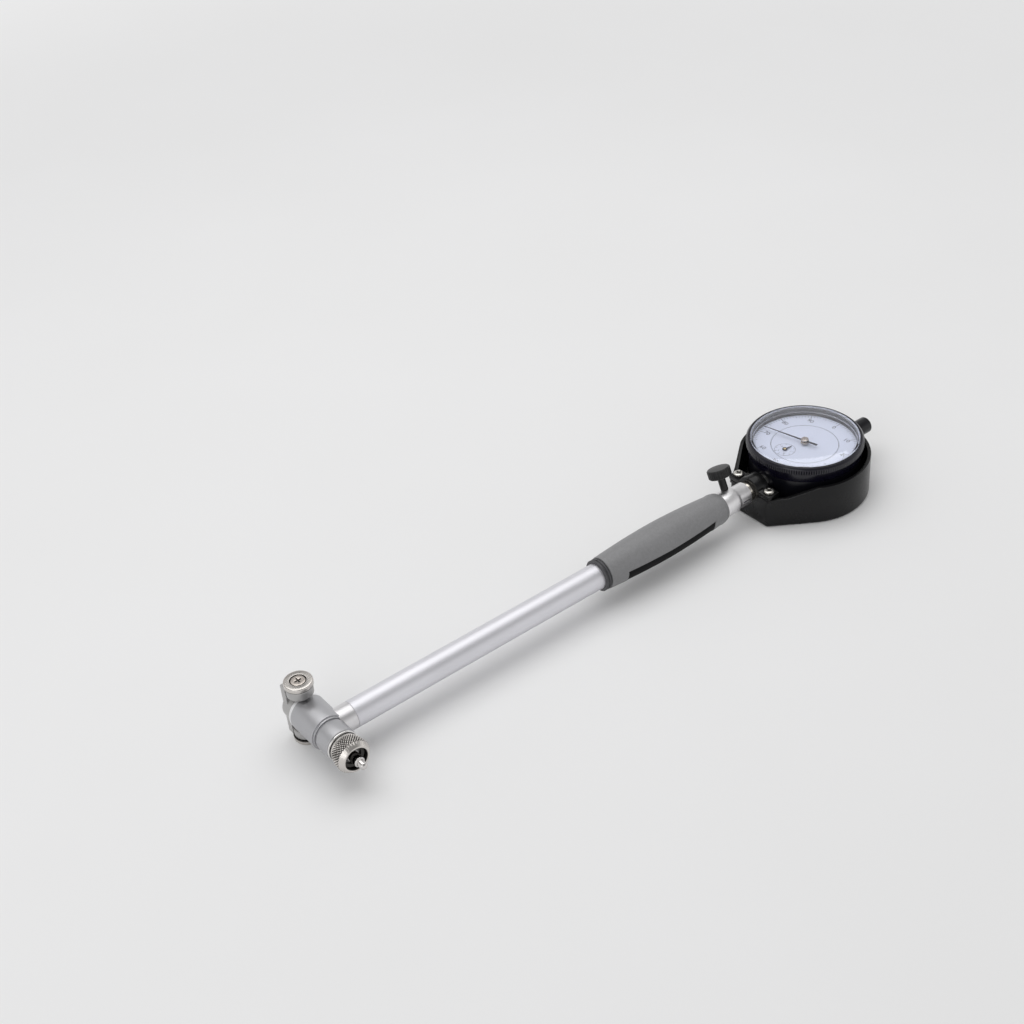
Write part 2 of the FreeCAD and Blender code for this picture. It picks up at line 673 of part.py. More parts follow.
def inset_zone():
    """The long rectangular recess on the front lower side of the grip."""
    zone = block((INSET_X, -INSET_W / 2, INSET_FLOOR_R),
                 (INSET_END_X, INSET_W / 2, GRIP_MID_R + 2))
    zone.rotate(Vector(0, 0, 0), Vector(1, 0, 0), 90 - INSET_ANGLE)
    return zone


def grip():
    """Moulded grip over the tube's end and the clamp's shank."""
    body = turned("X", [
        (GRIP_X, TUBE_R)] + grip_outline() + [
        (GRIP_END_X, COLLAR_SHANK_R), (COLLAR_SHANK_X, COLLAR_SHANK_R),
        (COLLAR_SHANK_X, GRIP_CORE_R), (TUBE_END_X, GRIP_CORE_R), (TUBE_END_X, TUBE_R)])
    return body.cut(inset_zone())


def grip_inset():
    """Bare dark strip let into the grip's recess."""
    body = turned("X", [(GRIP_X, 0)] + grip_outline(INSET_SUNK) + [(GRIP_END_X, 0)])
    return body.common(inset_zone())


def grip_ring():
    """Dark ribbed ring at the front of the grip."""
    step = (GRIP_X - RING_X) / (2 * RING_RIBS)
    outline = [(RING_X, TUBE_R)]
    for n in range(RING_RIBS):
        x = RING_X + 2 * n * step
        outline += [(x, RING_RIB_R - EDGE_CHAMFER), (x + EDGE_CHAMFER, RING_RIB_R),
                    (x + step, RING_RIB_R), (x + step, RING_GAP_R), (x + 2 * step, RING_GAP_R)]
    return turned("X", outline + [(GRIP_X, TUBE_R)])


# Clamp for the indicator

def thumb_line(shape):
    """Turn a piece drawn along +Z at the stem axis to the thumb screw's line."""
    shape.rotate(Vector(0, 0, 0), Vector(1, 0, 0), THUMB_ANGLE - 90)
    shape.translate(Vector(THUMB_X, 0, 0))
    return shape


def clamp_collar():
    """Split collar at the handle's end, bored for the sleeve and thumb screw."""
    nose_x = COLLAR_STEP_X + COLLAR_STEP_L
    body = turned("X", [
        (COLLAR_SHANK_X, COLLAR_BORE_R), (COLLAR_SHANK_X, COLLAR_SHANK_R),
        (GRIP_END_X, COLLAR_SHANK_R), (GRIP_END_X, COLLAR_R), (COLLAR_STEP_X, COLLAR_R),
        (nose_x, COLLAR_NOSE_R), (COLLAR_END_X - EDGE_CHAMFER, COLLAR_NOSE_R),
        (COLLAR_END_X, COLLAR_NOSE_R - EDGE_CHAMFER), (COLLAR_END_X, SLEEVE_R),
        (SLEEVE_X, SLEEVE_R), (SLEEVE_X, COLLAR_BORE_R)])
    slit = block((COLLAR_END_X - SLIT_L, -HEAD_R, -SLIT_W / 2),
                 (COLLAR_END_X + 1, HEAD_R, SLIT_W / 2))
    hole = thumb_line(rod("Z", THUMB_THREAD_R + SLIP, SLEEVE_R - 0.5, COLLAR_R + 1))
    return body.cut(slit).cut(hole)


def clamp_sleeve():
    """Split plated sleeve that grips the indicator's stem."""
    c = EDGE_CHAMFER
    bore = STEM_R + SLIP
    body = turned("X", [
        (SLEEVE_X, bore), (SLEEVE_X, SLEEVE_R), (SLEEVE_END_X - c, SLEEVE_R),
        (SLEEVE_END_X, SLEEVE_R - c), (SLEEVE_END_X, bore)])
    slit = block((SLEEVE_X + SLIT_L / 2, -SLIT_W / 2, -SLEEVE_R - 1),
                 (SLEEVE_END_X + 1, SLIT_W / 2, 0))
    return body.cut(slit)


def thumb_screw():
    """Knurled thumb screw that squeezes the sleeve onto the stem."""
    c = 2 * EDGE_CHAMFER
    top = THUMB_KNOB_FROM + THUMB_KNOB_T
    post = COLLAR_R + PLAY
    screw = turned("Z", [
        (SLEEVE_R + TOUCH, 0), (SLEEVE_R + TOUCH, THUMB_THREAD_R), (post, THUMB_THREAD_R),
        (post, THUMB_POST_R), (THUMB_KNOB_FROM, THUMB_POST_R),
        (THUMB_KNOB_FROM, THUMB_KNOB_R - c), (THUMB_KNOB_FROM + c, THUMB_KNOB_R),
        (top - c, THUMB_KNOB_R), (top, THUMB_KNOB_R - c), (top, 0)])
    screw = ridged(screw, "Z", THUMB_KNOB_R, THUMB_RIDGE_DEPTH, THUMB_RIDGES,
                   THUMB_KNOB_FROM - 1, top + 1)
    return thumb_line(screw)


# Indicator case

def indicator_case():
    """Turned case with its front deck, front collar and two bored bosses."""
    inner = CASE_BORE_R
    deck_top = DECK_Z + DECK_T
    collar_in = CASE_COLLAR_R - CASE_WALL / 2
    body = turned("Z", [
        (CASE_BACK_Z, inner), (CASE_BACK_Z, CASE_R), (CASE_SHOULDER_Z, CASE_R),
        (CASE_SHOULDER_Z, CASE_COLLAR_R), (CASE_COLLAR_Z, CASE_COLLAR_R),
        (CASE_COLLAR_Z, collar_in), (deck_top, collar_in), (deck_top, 0), (DECK_Z, 0),
        (DECK_Z, inner)], (DIAL_X, 0, 0))
    cap_boss = rod("X", CAP_BOSS_R, DIAL_X + inner - 1, DIAL_X + CASE_R + 1.2)
    stem_boss = rod("X", CAP_BOSS_R, DIAL_X - CASE_R - 1.0, DIAL_X - inner + 2.6)
    body = body.fuse(cap_boss).fuse(stem_boss)
    post_x = DIAL_X + SPINDLE_SPRING_FROM - SPRING_POST_R - PLAY
    post_low = -SPINDLE_SPRING_R - SPINDLE_SPRING_WIRE_R
    body = body.fuse(rod("Z", SPRING_POST_R, post_low, DECK_Z, (post_x, SPINDLE_SPRING_Y, 0)))
    body = body.cut(rod("X", CAP_R, DIAL_X + inner + 0.4, DIAL_X + CAP_END))
    body = body.cut(rod("X", SPINDLE_R + RUN, DIAL_X + inner - 2, DIAL_X + CAP_END))
    body = body.cut(rod("X", STEM_R, DIAL_X - CASE_R - 2, DIAL_X - CASE_R + STEM_BITE))
    body = body.cut(rod("X", SPINDLE_R + RUN, DIAL_X - CASE_R, DIAL_X - inner + 3))
    body = body.cut(rod("Z", ARBOR_R + RUN, 0, deck_top + 1, (DIAL_X, 0, 0)))
    body = body.cut(rod("Z", ARBOR_R + RUN, 0, deck_top + 1, (SIDE_X, SIDE_Y, 0)))
    body = body.cut(rod("Z", ARBOR_R + RUN, 0, deck_top - PIVOT_FLOOR, (TAKE_UP_X, TAKE_UP_Y, 0)))
    for n in range(BACK_SCREWS):
        body = body.cut(rod("Z", SMALL_SCREW_R, CASE_BACK_Z - 1, CASE_BACK_Z + BACK_SCREW_L, back_screw_at(n)))
    return body.removeSplitter()


def back_screw_at(n):
    """Place of one of the screws that hold the back plate."""
    angle = math.radians(45 + 360 * n / BACK_SCREWS)
    reach = CASE_R - CASE_WALL / 2
    return (DIAL_X + reach * math.cos(angle), reach * math.sin(angle), 0)


def back_plate():
    """Round back plate with the lug that such indicators carry."""
    body = rod("Z", CASE_R, BACK_Z, CASE_BACK_Z, (DIAL_X, 0, 0))
    body = body.fuse(block((DIAL_X - LUG_L / 2, -LUG_W / 2, LUG_Z),
                           (DIAL_X + LUG_L / 2, LUG_W / 2, BACK_Z)))
    body = body.cut(lay(Part.makeCylinder(LUG_HOLE_R, 2 * LUG_W), "Y",
                        (DIAL_X, -LUG_W, (LUG_Z + BACK_Z) / 2)))
    for n in range(BACK_SCREWS):
        body = body.cut(rod("Z", SMALL_SCREW_R, BACK_Z - 1, CASE_BACK_Z + 1, back_screw_at(n)))
    return body.removeSplitter()


def back_screws():
    """Four small screws of the back plate."""
    screws = []
    for n in range(BACK_SCREWS):
        screws.append(turned("Z", [
            (BACK_Z - SMALL_HEAD_T, 0), (BACK_Z - SMALL_HEAD_T, SMALL_HEAD_R - EDGE_CHAMFER),
            (BACK_Z - SMALL_HEAD_T + EDGE_CHAMFER, SMALL_HEAD_R), (BACK_Z, SMALL_HEAD_R),
            (BACK_Z, SMALL_SCREW_R), (CASE_BACK_Z + BACK_SCREW_L, SMALL_SCREW_R),
            (CASE_BACK_Z + BACK_SCREW_L, 0)], back_screw_at(n)))
    return Part.makeCompound(screws)


def stem_bush():
    """Ground stem of the indicator, bored for the spindle."""
    c = EDGE_CHAMFER
    bore = SPINDLE_R + RUN
    end_x = DIAL_X - CASE_R + STEM_BITE
    return turned("X", [
        (STEM_END_X, bore), (STEM_END_X, STEM_R - c), (STEM_END_X + c, STEM_R),
        (end_x, STEM_R), (end_x, bore)])


def top_cap():
    """Hollow cap over the spindle's upper end."""
    c = 2 * EDGE_CHAMFER
    start_x = DIAL_X + CASE_BORE_R + 0.4
    end_x = DIAL_X + CAP_END
    inner = CAP_R - CAP_WALL
    return turned("X", [
        (start_x, inner), (start_x, CAP_R), (end_x - c, CAP_R), (end_x, CAP_R - c),
        (end_x, 0), (end_x - CAP_WALL, 0), (end_x - CAP_WALL, inner)])


def spindle():
    """Measuring spindle with its rack and the arm that its spring pulls."""
    body = turned("X", [
        (POINT_TIP_X + POINT_L, 0), (POINT_TIP_X + POINT_L, SPINDLE_R - EDGE_CHAMFER),
        (POINT_TIP_X + POINT_L + EDGE_CHAMFER, SPINDLE_R), (DIAL_X + SPINDLE_TOP, SPINDLE_R),
        (DIAL_X + SPINDLE_TOP, 0)])
    root_y = RACK_LINE_Y - TOOTH_DEPTH / 2 - TOOTH_GAP
    tip_y = RACK_LINE_Y + TOOTH_DEPTH / 2
    start_x, end_x = DIAL_X + RACK_FROM, DIAL_X + RACK_TO
    body = body.cut(block((start_x, root_y, -SPINDLE_R), (end_x, SPINDLE_R + 1, SPINDLE_R)))
    first = math.ceil((start_x + RACK_PITCH - SIDE_X) / RACK_PITCH)
    last = math.floor((end_x - RACK_PITCH - SIDE_X) / RACK_PITCH)
    teeth = []
    for n in range(first, last):
        x = SIDE_X + (n + 0.5) * RACK_PITCH
        points = [(x - 0.30 * RACK_PITCH, root_y), (x + 0.30 * RACK_PITCH, root_y),
                  (x + 0.07 * RACK_PITCH, tip_y), (x - 0.07 * RACK_PITCH, tip_y)]
        teeth.append(plate(points, -RACK_PINION_T / 2, RACK_PINION_T))
    for tooth in teeth:
        body = body.fuse(tooth)
    arm_x = DIAL_X + SPINDLE_SPRING_FROM + SPINDLE_SPRING_L + SPRING_POST_R + PLAY
    arm = rod("Y", SPRING_POST_R, SPINDLE_SPRING_Y - SPINDLE_SPRING_R, 0, (arm_x, 0, 0))
    return body.fuse(arm).removeSplitter()


def contact_point():
    """Contact point screwed into the spindle, resting on the push rod."""
    shoulder_x = POINT_TIP_X + POINT_L / 2
    end_x = POINT_TIP_X + POINT_L
    return turned("X", [
        (POINT_TIP_X, 0), ((POINT_TIP_X + 0.25, 0.7), (POINT_TIP_X + 0.9, 1.15)),
        (shoulder_x, 1.5), (shoulder_x, POINT_SHOULDER_R), (end_x - 0.4, POINT_SHOULDER_R),
        (end_x, POINT_SHOULDER_R - 0.4), (end_x, 0)])


# Bezel, crystal and dial

def bezel():
    """Turning bezel with a ridged band and a ledge for the graduated ring."""
    bore = CASE_COLLAR_R + RUN
    low = CASE_SHOULDER_Z + PLAY
    ring = turned("Z", [
        (low, bore), (low, BEZEL_SKIRT_R), (BEZEL_KNURL_Z, BEZEL_R),
        (BEZEL_KNURL_Z, BEZEL_KNURL_R), (BEZEL_KNURL_TOP_Z, BEZEL_KNURL_R),
        (BEZEL_TOP_Z, BEZEL_R - 0.2), (BEZEL_TOP_Z, BEZEL_BORE_R), (DIAL_Z, BEZEL_BORE_R),
        (DIAL_Z, LEDGE_R), (LEDGE_Z, LEDGE_R), (LEDGE_Z, bore)], (DIAL_X, 0, 0))
    return ridged(ring, "Z", BEZEL_KNURL_R, BEZEL_RIDGE_DEPTH, BEZEL_RIDGES,
                  BEZEL_KNURL_Z, BEZEL_KNURL_TOP_Z, (DIAL_X, 0, 0))


def cap_half_way(top, edge, r):
    """The point half way out on a spherical cap, as (along, radius)."""
    rise = top - edge
    ball_r = (r ** 2 + rise ** 2) / (2 * rise)
    return (top - ball_r + math.sqrt(ball_r ** 2 - r ** 2 / 4), r / 2)


def crystal():
    """Clear domed window pressed into the bezel."""
    outer = BEZEL_BORE_R - SLIP
    inner = outer - CRYSTAL_WALL
    foot = DIAL_TOP_Z + SLIP
    top, edge = CRYSTAL_TOP_Z, CRYSTAL_EDGE_Z
    under_top, under_edge = top - CRYSTAL_T, edge - CRYSTAL_T
    return turned("Z", [
        (foot, inner), (foot, outer), (edge, outer),
        (cap_half_way(top, edge, outer), (top, 0)), (under_top, 0),
        (cap_half_way(under_top, under_edge, inner), (under_edge, inner))], (DIAL_X, 0, 0))


def dial_ring():
    """Outer ring of the dial, which turns with the bezel."""
    return pipe("Z", BEZEL_BORE_R, DIAL_DISC_R + DIAL_GAP, DIAL_Z, DIAL_TOP_Z, (DIAL_X, 0, 0))


def dial_disc():
    """Fixed inner part of the dial, on a foot that stands on the deck."""
    foot = DECK_Z + DECK_T
    disc = turned("Z", [
        (foot, DISC_FOOT_R), (foot, DISC_FOOT_R + DISC_FOOT_W), (DIAL_Z, DISC_FOOT_R + DISC_FOOT_W),
        (DIAL_Z, DIAL_DISC_R), (DIAL_TOP_Z, DIAL_DISC_R), (DIAL_TOP_Z, 0), (DIAL_Z, 0),
        (DIAL_Z, DISC_FOOT_R)], (DIAL_X, 0, 0))
    disc = disc.cut(rod("Z", ARBOR_R + 3 * RUN, foot, DIAL_TOP_Z + 1, (DIAL_X, 0, 0)))
    return disc.cut(rod("Z", ARBOR_R + 3 * RUN, foot, DIAL_TOP_Z + 1, (SIDE_X, SIDE_Y, 0)))


def hand(length, tail, width, z, t, angle, at):
    """A tapering hand with a round eye, pointing at an angle."""
    shape = plate([(-tail, -width / 2), (length, -width / 6), (length, width / 6),
                   (-tail, width / 2)], z, t)
    shape = shape.fuse(Part.makeCylinder(ARBOR_R + 0.7, t, Vector(0, 0, z)))
    shape = shape.cut(Part.makeCylinder(ARBOR_R, t + 2, Vector(0, 0, z - 1)))
    shape.rotate(Vector(0, 0, 0), Vector(0, 0, 1), angle)
    shape.translate(Vector(at[0], at[1], 0))
    return shape.removeSplitter()


def pointer():
    """Long thin hand of the main scale."""
    return hand(POINTER_L, POINTER_TAIL, POINTER_W, POINTER_Z, POINTER_T,
                POINTER_ANGLE, (DIAL_X, 0))


def pointer_hub():
    """Six-sided plated boss round the pointer's eye."""
    points = []
    for n in range(6):
        angle = math.radians(60 * n + POINTER_ANGLE)
        points.append((DIAL_X + POINTER_HUB_R * math.cos(angle), POINTER_HUB_R * math.sin(angle)))
    under = plate(points, POINTER_HUB_Z, POINTER_Z - POINTER_HUB_Z)
    top = POINTER_Z + POINTER_T
    cap = rod("Z", POINTER_HUB_R * 0.8, top, POINTER_HUB_TOP_Z, (DIAL_X, 0, 0))
    eye = rod("Z", ARBOR_R, POINTER_HUB_Z - 1, top + 0.5, (DIAL_X, 0, 0))
    return Part.makeCompound([under.cut(eye), cap.cut(eye)])


def counter_hand():
    """Small hand of the turn counter."""
    return hand(COUNTER_L, 1.2, 0.9, COUNTER_Z, COUNTER_T, -11, (SIDE_X, SIDE_Y))


# Movement

def pillar_places():
    """Places of the three pillars about the dial's centre, inside the case's wall."""
    places = []
    for (x, y), margin in zip(PILLAR_TOWARDS, PILLAR_MARGINS):
        reach = (CASE_BORE_R - margin) / math.hypot(x, y)
        places.append((reach * x, reach * y))
    return places


def movement_bridge():
    """Rear plate of the movement on three pillars."""
    points = [(DIAL_X + 1.18 * x, 1.18 * y) for x, y in pillar_places()]
    body = plate(points, BRIDGE_PLATE_Z, BRIDGE_PLATE_T)
    body = body.common(rod("Z", CASE_BORE_R - 1, BRIDGE_PLATE_Z, DECK_Z, (DIAL_X, 0, 0)))
    for x, y in pillar_places():
        body = body.fuse(rod("Z", PILLAR_R, BRIDGE_PLATE_Z, DECK_Z, (DIAL_X + x, y, 0)))
    for x, y in ((SIDE_X, SIDE_Y), (TAKE_UP_X, TAKE_UP_Y)):
        body = body.cut(rod("Z", ARBOR_R + RUN, BRIDGE_PLATE_Z + PIVOT_FLOOR, 0, (x, y, 0)))
    return body.removeSplitter()


def arbor(at, top):
    """The shaft of a wheel, from the rear plate to its upper end."""
    return rod("Z", ARBOR_R, BRIDGE_PLATE_Z + PIVOT_FLOOR + PLAY / 2, top, (at[0], at[1], 0))


def rack_wheel():
    """Arbor with the rack's pinion and the large wheel, carrying the counter hand."""
    at = (SIDE_X, SIDE_Y)
    to_centre = math.atan2(-SIDE_Y, DIAL_X - SIDE_X)
    body = arbor(at, COUNTER_Z + COUNTER_T)
    body = body.fuse(toothed(RACK_PINION_TEETH, RACK_PINION_PITCH_R, -RACK_PINION_T / 2,
                             RACK_PINION_T, at, -math.pi / 2))
    body = body.fuse(toothed(WHEEL_TEETH, WHEEL_PITCH_R, GEAR_Z, GEAR_T, at, to_centre))
    return body.removeSplitter()


def centre_pinion():
    """Arbor with the small pinion that carries the pointer."""
    at = (DIAL_X, 0)
    to_side = math.atan2(SIDE_Y, SIDE_X - DIAL_X)
    body = Part.makeCylinder(ARBOR_R, POINTER_Z + POINTER_T + 0.5 - GEAR_Z, Vector(DIAL_X, 0, GEAR_Z))
    body = body.fuse(toothed(PINION_TEETH, PINION_PITCH_R, GEAR_Z - PLAY, GEAR_T + 2 * PLAY,
                             at, to_side + math.pi / PINION_TEETH))
    return body.removeSplitter()


def take_up_wheel():
    """Second large wheel, loaded by the hairspring to take up backlash."""
    at = (TAKE_UP_X, TAKE_UP_Y)
    to_side = math.atan2(SIDE_Y, SIDE_X - DIAL_X)
    step = 2 * math.pi / PINION_TEETH
    here = math.radians(TAKE_UP_ANGLE)
    first_tip = to_side + math.pi / PINION_TEETH
    off = (here - first_tip) / step
    shift = (off - round(off)) * step * PINION_TEETH / WHEEL_TEETH
    facing = here + math.pi - math.pi / WHEEL_TEETH + shift
    body = arbor(at, DECK_Z + DECK_T - PIVOT_FLOOR - PLAY / 2)
    body = body.fuse(toothed(WHEEL_TEETH, WHEEL_PITCH_R, GEAR_Z, GEAR_T, at, facing))
    return body.removeSplitter()


def hairspring():
    """Flat spiral spring beside the take-up wheel's arbor."""
    start_r = 2 * ARBOR_R
    steps = 14 * HAIRSPRING_TURNS
    inner, outer = [], []
    for n in range(steps + 1):
        angle = 2 * math.pi * HAIRSPRING_TURNS * n / steps
        r = start_r + (HAIRSPRING_R - start_r) * n / steps
        inner.append((TAKE_UP_X + r * math.cos(angle), TAKE_UP_Y + r * math.sin(angle)))
        wide = r + HAIRSPRING_W
        outer.append((TAKE_UP_X + wide * math.cos(angle), TAKE_UP_Y + wide * math.sin(angle)))
    low = BRIDGE_PLATE_Z + BRIDGE_PLATE_T
    return plate(inner + outer[::-1], low, HAIRSPRING_H)


# Springs

def bridge_spring():
    """Spring that pushes the centring bridge outwards."""
    return coil("Y", BRIDGE_SPRING_R, WIRE_R, CAVITY_END_Y + PLAY, HUB_WALL_Y - PLAY,
                BRIDGE_SPRING_TURNS)


def rod_spring():
    """Spring that returns the push rod."""
    return coil("X", ROD_SPRING_R, WIRE_R, ROD_COLLAR_X + ROD_COLLAR_L + PLAY,
                ROD_BUSH_X - PLAY, ROD_SPRING_TURNS)


def spindle_spring():
    """Fine spring beside the spindle."""
    start = DIAL_X + SPINDLE_SPRING_FROM
    return coil("X", SPINDLE_SPRING_R, SPINDLE_SPRING_WIRE_R, start, start + SPINDLE_SPRING_L,
                SPINDLE_SPRING_TURNS, (0, SPINDLE_SPRING_Y, 0))


# Guard

def guard_outline(less, from_x):
    """Teardrop face: a circle with two tangents that run to the neck."""
    r = GUARD_R - less
    half = NECK_HALF_W - less
    run = DIAL_X - from_x
    reach = math.hypot(run, half)
    angle = math.atan2(half, -run) - math.acos(r / reach)
    touch_x, touch_y = DIAL_X + r * math.cos(angle), r * math.sin(angle)
    high, low = Vector(touch_x, touch_y, 0), Vector(touch_x, -touch_y, 0)
    arc = Part.Arc(high, Vector(DIAL_X + r, 0, 0), low).toShape()
    corner_low, corner_high = Vector(from_x, -half, 0), Vector(from_x, half, 0)
    edges = [arc, Part.LineSegment(low, corner_low).toShape(),
             Part.LineSegment(corner_low, corner_high).toShape(),
             Part.LineSegment(corner_high, high).toShape()]
    return Part.Face(Part.Wire(edges))


def guard_shell():
    """Teardrop cup behind the indicator, with the lower half of its clamp."""
    height = GUARD_RIM_Z - GUARD_BACK_Z
    body = guard_outline(0, SADDLE_X).extrude(Vector(0, 0, height))
    hollow = guard_outline(GUARD_WALL, SADDLE_X + GUARD_WALL).extrude(Vector(0, 0, height))
    hollow.translate(Vector(0, 0, GUARD_WALL))
    body = body.cut(hollow)
    body.translate(Vector(0, 0, GUARD_BACK_Z))
    slope = [Vector(SADDLE_X - 1, 0, GUARD_LOW_Z), Vector(GUARD_SLOPE_TO_X, 0, GUARD_LOW_Z),
             Vector(GUARD_SLOPE_FROM_X, 0, GUARD_RIM_Z), Vector(GUARD_SLOPE_FROM_X, 0, GUARD_RIM_Z + 1),
             Vector(SADDLE_X - 1, 0, GUARD_RIM_Z + 1), Vector(SADDLE_X - 1, 0, GUARD_LOW_Z)]
    wedge = Part.Face(Part.makePolygon(slope)).extrude(Vector(0, 4 * GUARD_R, 0))
    wedge.translate(Vector(0, -2 * GUARD_R, 0))
    body = body.cut(wedge)
    notch = block((DIAL_X, -CAP_NOTCH_W, -CAP_NOTCH_W), (DIAL_X + GUARD_R + 1, CAP_NOTCH_W, GUARD_RIM_Z + 1))
    body = body.cut(notch.cut(rod("Z", GUARD_R - CAP_NOTCH_DEPTH, -CAP_NOTCH_W, GUARD_RIM_Z + 1, (DIAL_X, 0, 0))))
    end_x = SADDLE_X + SADDLE_L
    body = body.fuse(block((SADDLE_X, -TROUGH_HALF_W, GUARD_BACK_Z), (end_x, TROUGH_HALF_W, GUARD_LOW_Z)))
    body = body.fuse(block((SADDLE_X, -SADDLE_EAR_W, GUARD_LOW_Z - SADDLE_EAR_T),
                           (end_x, SADDLE_EAR_W, GUARD_LOW_Z)))
    body = body.cut(rod("X", SLEEVE_R + SLIP, SADDLE_X - 1, end_x + GUARD_WALL))
    for side in (1, -1):
        body = body.cut(rod("Z", GUARD_SCREW_R, GUARD_LOW_Z - GUARD_SCREW_L, 1,
                            (SADDLE_X + SADDLE_L / 2, side * GUARD_SCREW_Y, 0)))
    return body.removeSplitter()


def guard_clamp():
    """Saddle that holds the guard on the sleeve."""
    end_x = SADDLE_X + SADDLE_L
    low = GUARD_LOW_Z + SADDLE_GAP
    body = rod("X", SADDLE_R, SADDLE_X, end_x)
    body = body.cut(block((SADDLE_X - 1, -GUARD_R, -GUARD_R), (end_x + 1, GUARD_R, low)))
    body = body.fuse(block((SADDLE_X, -SADDLE_EAR_W, low), (end_x, SADDLE_EAR_W, low + SADDLE_EAR_T)))
    body = body.cut(rod("X", SLEEVE_R + SLIP, SADDLE_X - 1, end_x + 1))
    for side in (1, -1):
        body = body.cut(rod("Z", GUARD_SCREW_R, 0, low + SADDLE_EAR_T + 1,
                            (SADDLE_X + SADDLE_L / 2, side * GUARD_SCREW_Y, 0)))
    return body.removeSplitter()


def guard_screws():
    """Two screws of the saddle."""
    seat = GUARD_LOW_Z + SADDLE_GAP + SADDLE_EAR_T
    top = seat + GUARD_HEAD_T
    screws = []
    for side in (1, -1):
        at = (SADDLE_X + SADDLE_L / 2, side * GUARD_SCREW_Y, 0)
        screw = turned("Z", [
            (GUARD_LOW_Z - GUARD_SCREW_L, 0), (GUARD_LOW_Z - GUARD_SCREW_L, GUARD_SCREW_R),
            (seat, GUARD_SCREW_R), (seat, GUARD_HEAD_R), (top - 0.7, GUARD_HEAD_R),
            ((top - 0.2, GUARD_HEAD_R - 0.5), (top, GUARD_HEAD_R - 1.4)), (top, 0)], at)
        screws.append(screw.cut(cross_recess(top - 0.7, 1, at)))
    return Part.makeCompound(screws)


PIECES = {
    "head_body": head_body, "plunger_bush": plunger_bush, "contact_plunger": contact_plunger,
    "crank_pin": crank_pin, "bell_crank": bell_crank, "bridge_stop_pin": bridge_stop_pin,
    "centring_bridge": centring_bridge, "guide_wheel_upper": guide_wheel,
    "guide_wheel_lower": lambda: mirrored_down(guide_wheel()), "wheel_screws": wheel_screws,
    "bridge_spring": bridge_spring, "anvil": anvil, "anvil_lock_nut": anvil_lock_nut,
    "tube_ferrule": tube_ferrule, "tube": tube, "push_rod": push_rod, "rod_bush": rod_bush,
    "rod_spring": rod_spring, "grip_ring": grip_ring, "grip": grip, "grip_inset": grip_inset,
    "clamp_collar": clamp_collar, "clamp_sleeve": clamp_sleeve, "thumb_screw": thumb_screw,
    "indicator_case": indicator_case, "back_plate": back_plate, "back_screws": back_screws,
    "stem_bush": stem_bush, "top_cap": top_cap, "spindle": spindle,
    "contact_point": contact_point, "bezel": bezel, "crystal": crystal,
    "dial_ring": dial_ring, "dial_disc": dial_disc, "pointer": pointer,
    "pointer_hub": pointer_hub, "counter_hand": counter_hand,
    "movement_bridge": movement_bridge, "rack_wheel": rack_wheel,
    "centre_pinion": centre_pinion, "take_up_wheel": take_up_wheel,
    "hairspring": hairspring, "spindle_spring": spindle_spring,
    "guard_shell": guard_shell, "guard_clamp": guard_clamp, "guard_screws": guard_screws,
}


def main():
    """Build every piece, move it to the row's frame and write it."""
    os.makedirs("parts", exist_ok=True)
    for name, make in PIECES.items():
        shape = make()
        shape.translate(TO_ROW)
        shape.exportStep(f"parts/{name}.step")
        print(f"{name:20s} valid {shape.isValid()} solids {len(shape.Solids)} volume {shape.Volume:.2f}")


main()
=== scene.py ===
import logging
import math
from collections.abc import Callable, Iterable
from dataclasses import dataclass, field, replace
from enum import Enum

import bmesh
import bpy
from mathutils import Matrix, Vector


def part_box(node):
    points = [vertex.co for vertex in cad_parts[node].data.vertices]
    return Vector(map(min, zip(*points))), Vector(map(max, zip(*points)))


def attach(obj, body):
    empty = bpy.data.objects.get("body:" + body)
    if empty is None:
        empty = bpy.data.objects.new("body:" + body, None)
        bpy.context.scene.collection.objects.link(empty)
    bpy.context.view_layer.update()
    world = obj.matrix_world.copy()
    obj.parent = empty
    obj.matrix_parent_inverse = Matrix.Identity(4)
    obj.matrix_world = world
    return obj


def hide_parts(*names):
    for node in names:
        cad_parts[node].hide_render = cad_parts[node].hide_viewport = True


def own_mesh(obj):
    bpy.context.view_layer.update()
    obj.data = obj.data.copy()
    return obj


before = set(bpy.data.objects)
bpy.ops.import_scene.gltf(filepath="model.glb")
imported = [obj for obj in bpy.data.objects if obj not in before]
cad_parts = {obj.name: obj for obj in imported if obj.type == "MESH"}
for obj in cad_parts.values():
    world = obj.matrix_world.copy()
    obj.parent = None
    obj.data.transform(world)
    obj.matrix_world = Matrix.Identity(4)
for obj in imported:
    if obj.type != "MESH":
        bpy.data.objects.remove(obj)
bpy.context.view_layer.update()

MM = 0.001
WIRE_R = 0.35
# Painted shade: the share of a finish's colour that its shaded hollows and knurl valleys are darkened to.
PAINTED_SHADE_TONE = 0.04

Point = tuple[float, float]
Place = tuple[float, float, float]
Station = tuple[float, float, float]
Colour = tuple[float, float, float]
Socket = bpy.types.NodeSocket
Test = Callable[[Vector], bool]


class Axis(Enum):
    """The line that a round piece is turned about."""

    X = Matrix(((0, 0, 1), (0, 1, 0), (-1, 0, 0)))
    Y = Matrix(((1, 0, 0), (0, 0, 1), (0, -1, 0)))
    Z = Matrix.Identity(3)

    @property
    def index(self) -> int:
        """The coordinate that runs along the axis."""
        return "XYZ".index(self.name)

    def spot(self, at: Vector, reach: float, angle: float, along: float) -> Vector:
        """Return a place about the axis, in metres, from its sizes in millimetres."""
        return at + self.value @ Vector((reach * math.cos(angle), reach * math.sin(angle), along)) * MM


def node_centre(node: str) -> Vector:
    """Return the middle of a node's box, in metres."""
    low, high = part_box(node)
    return (low + high) / 2


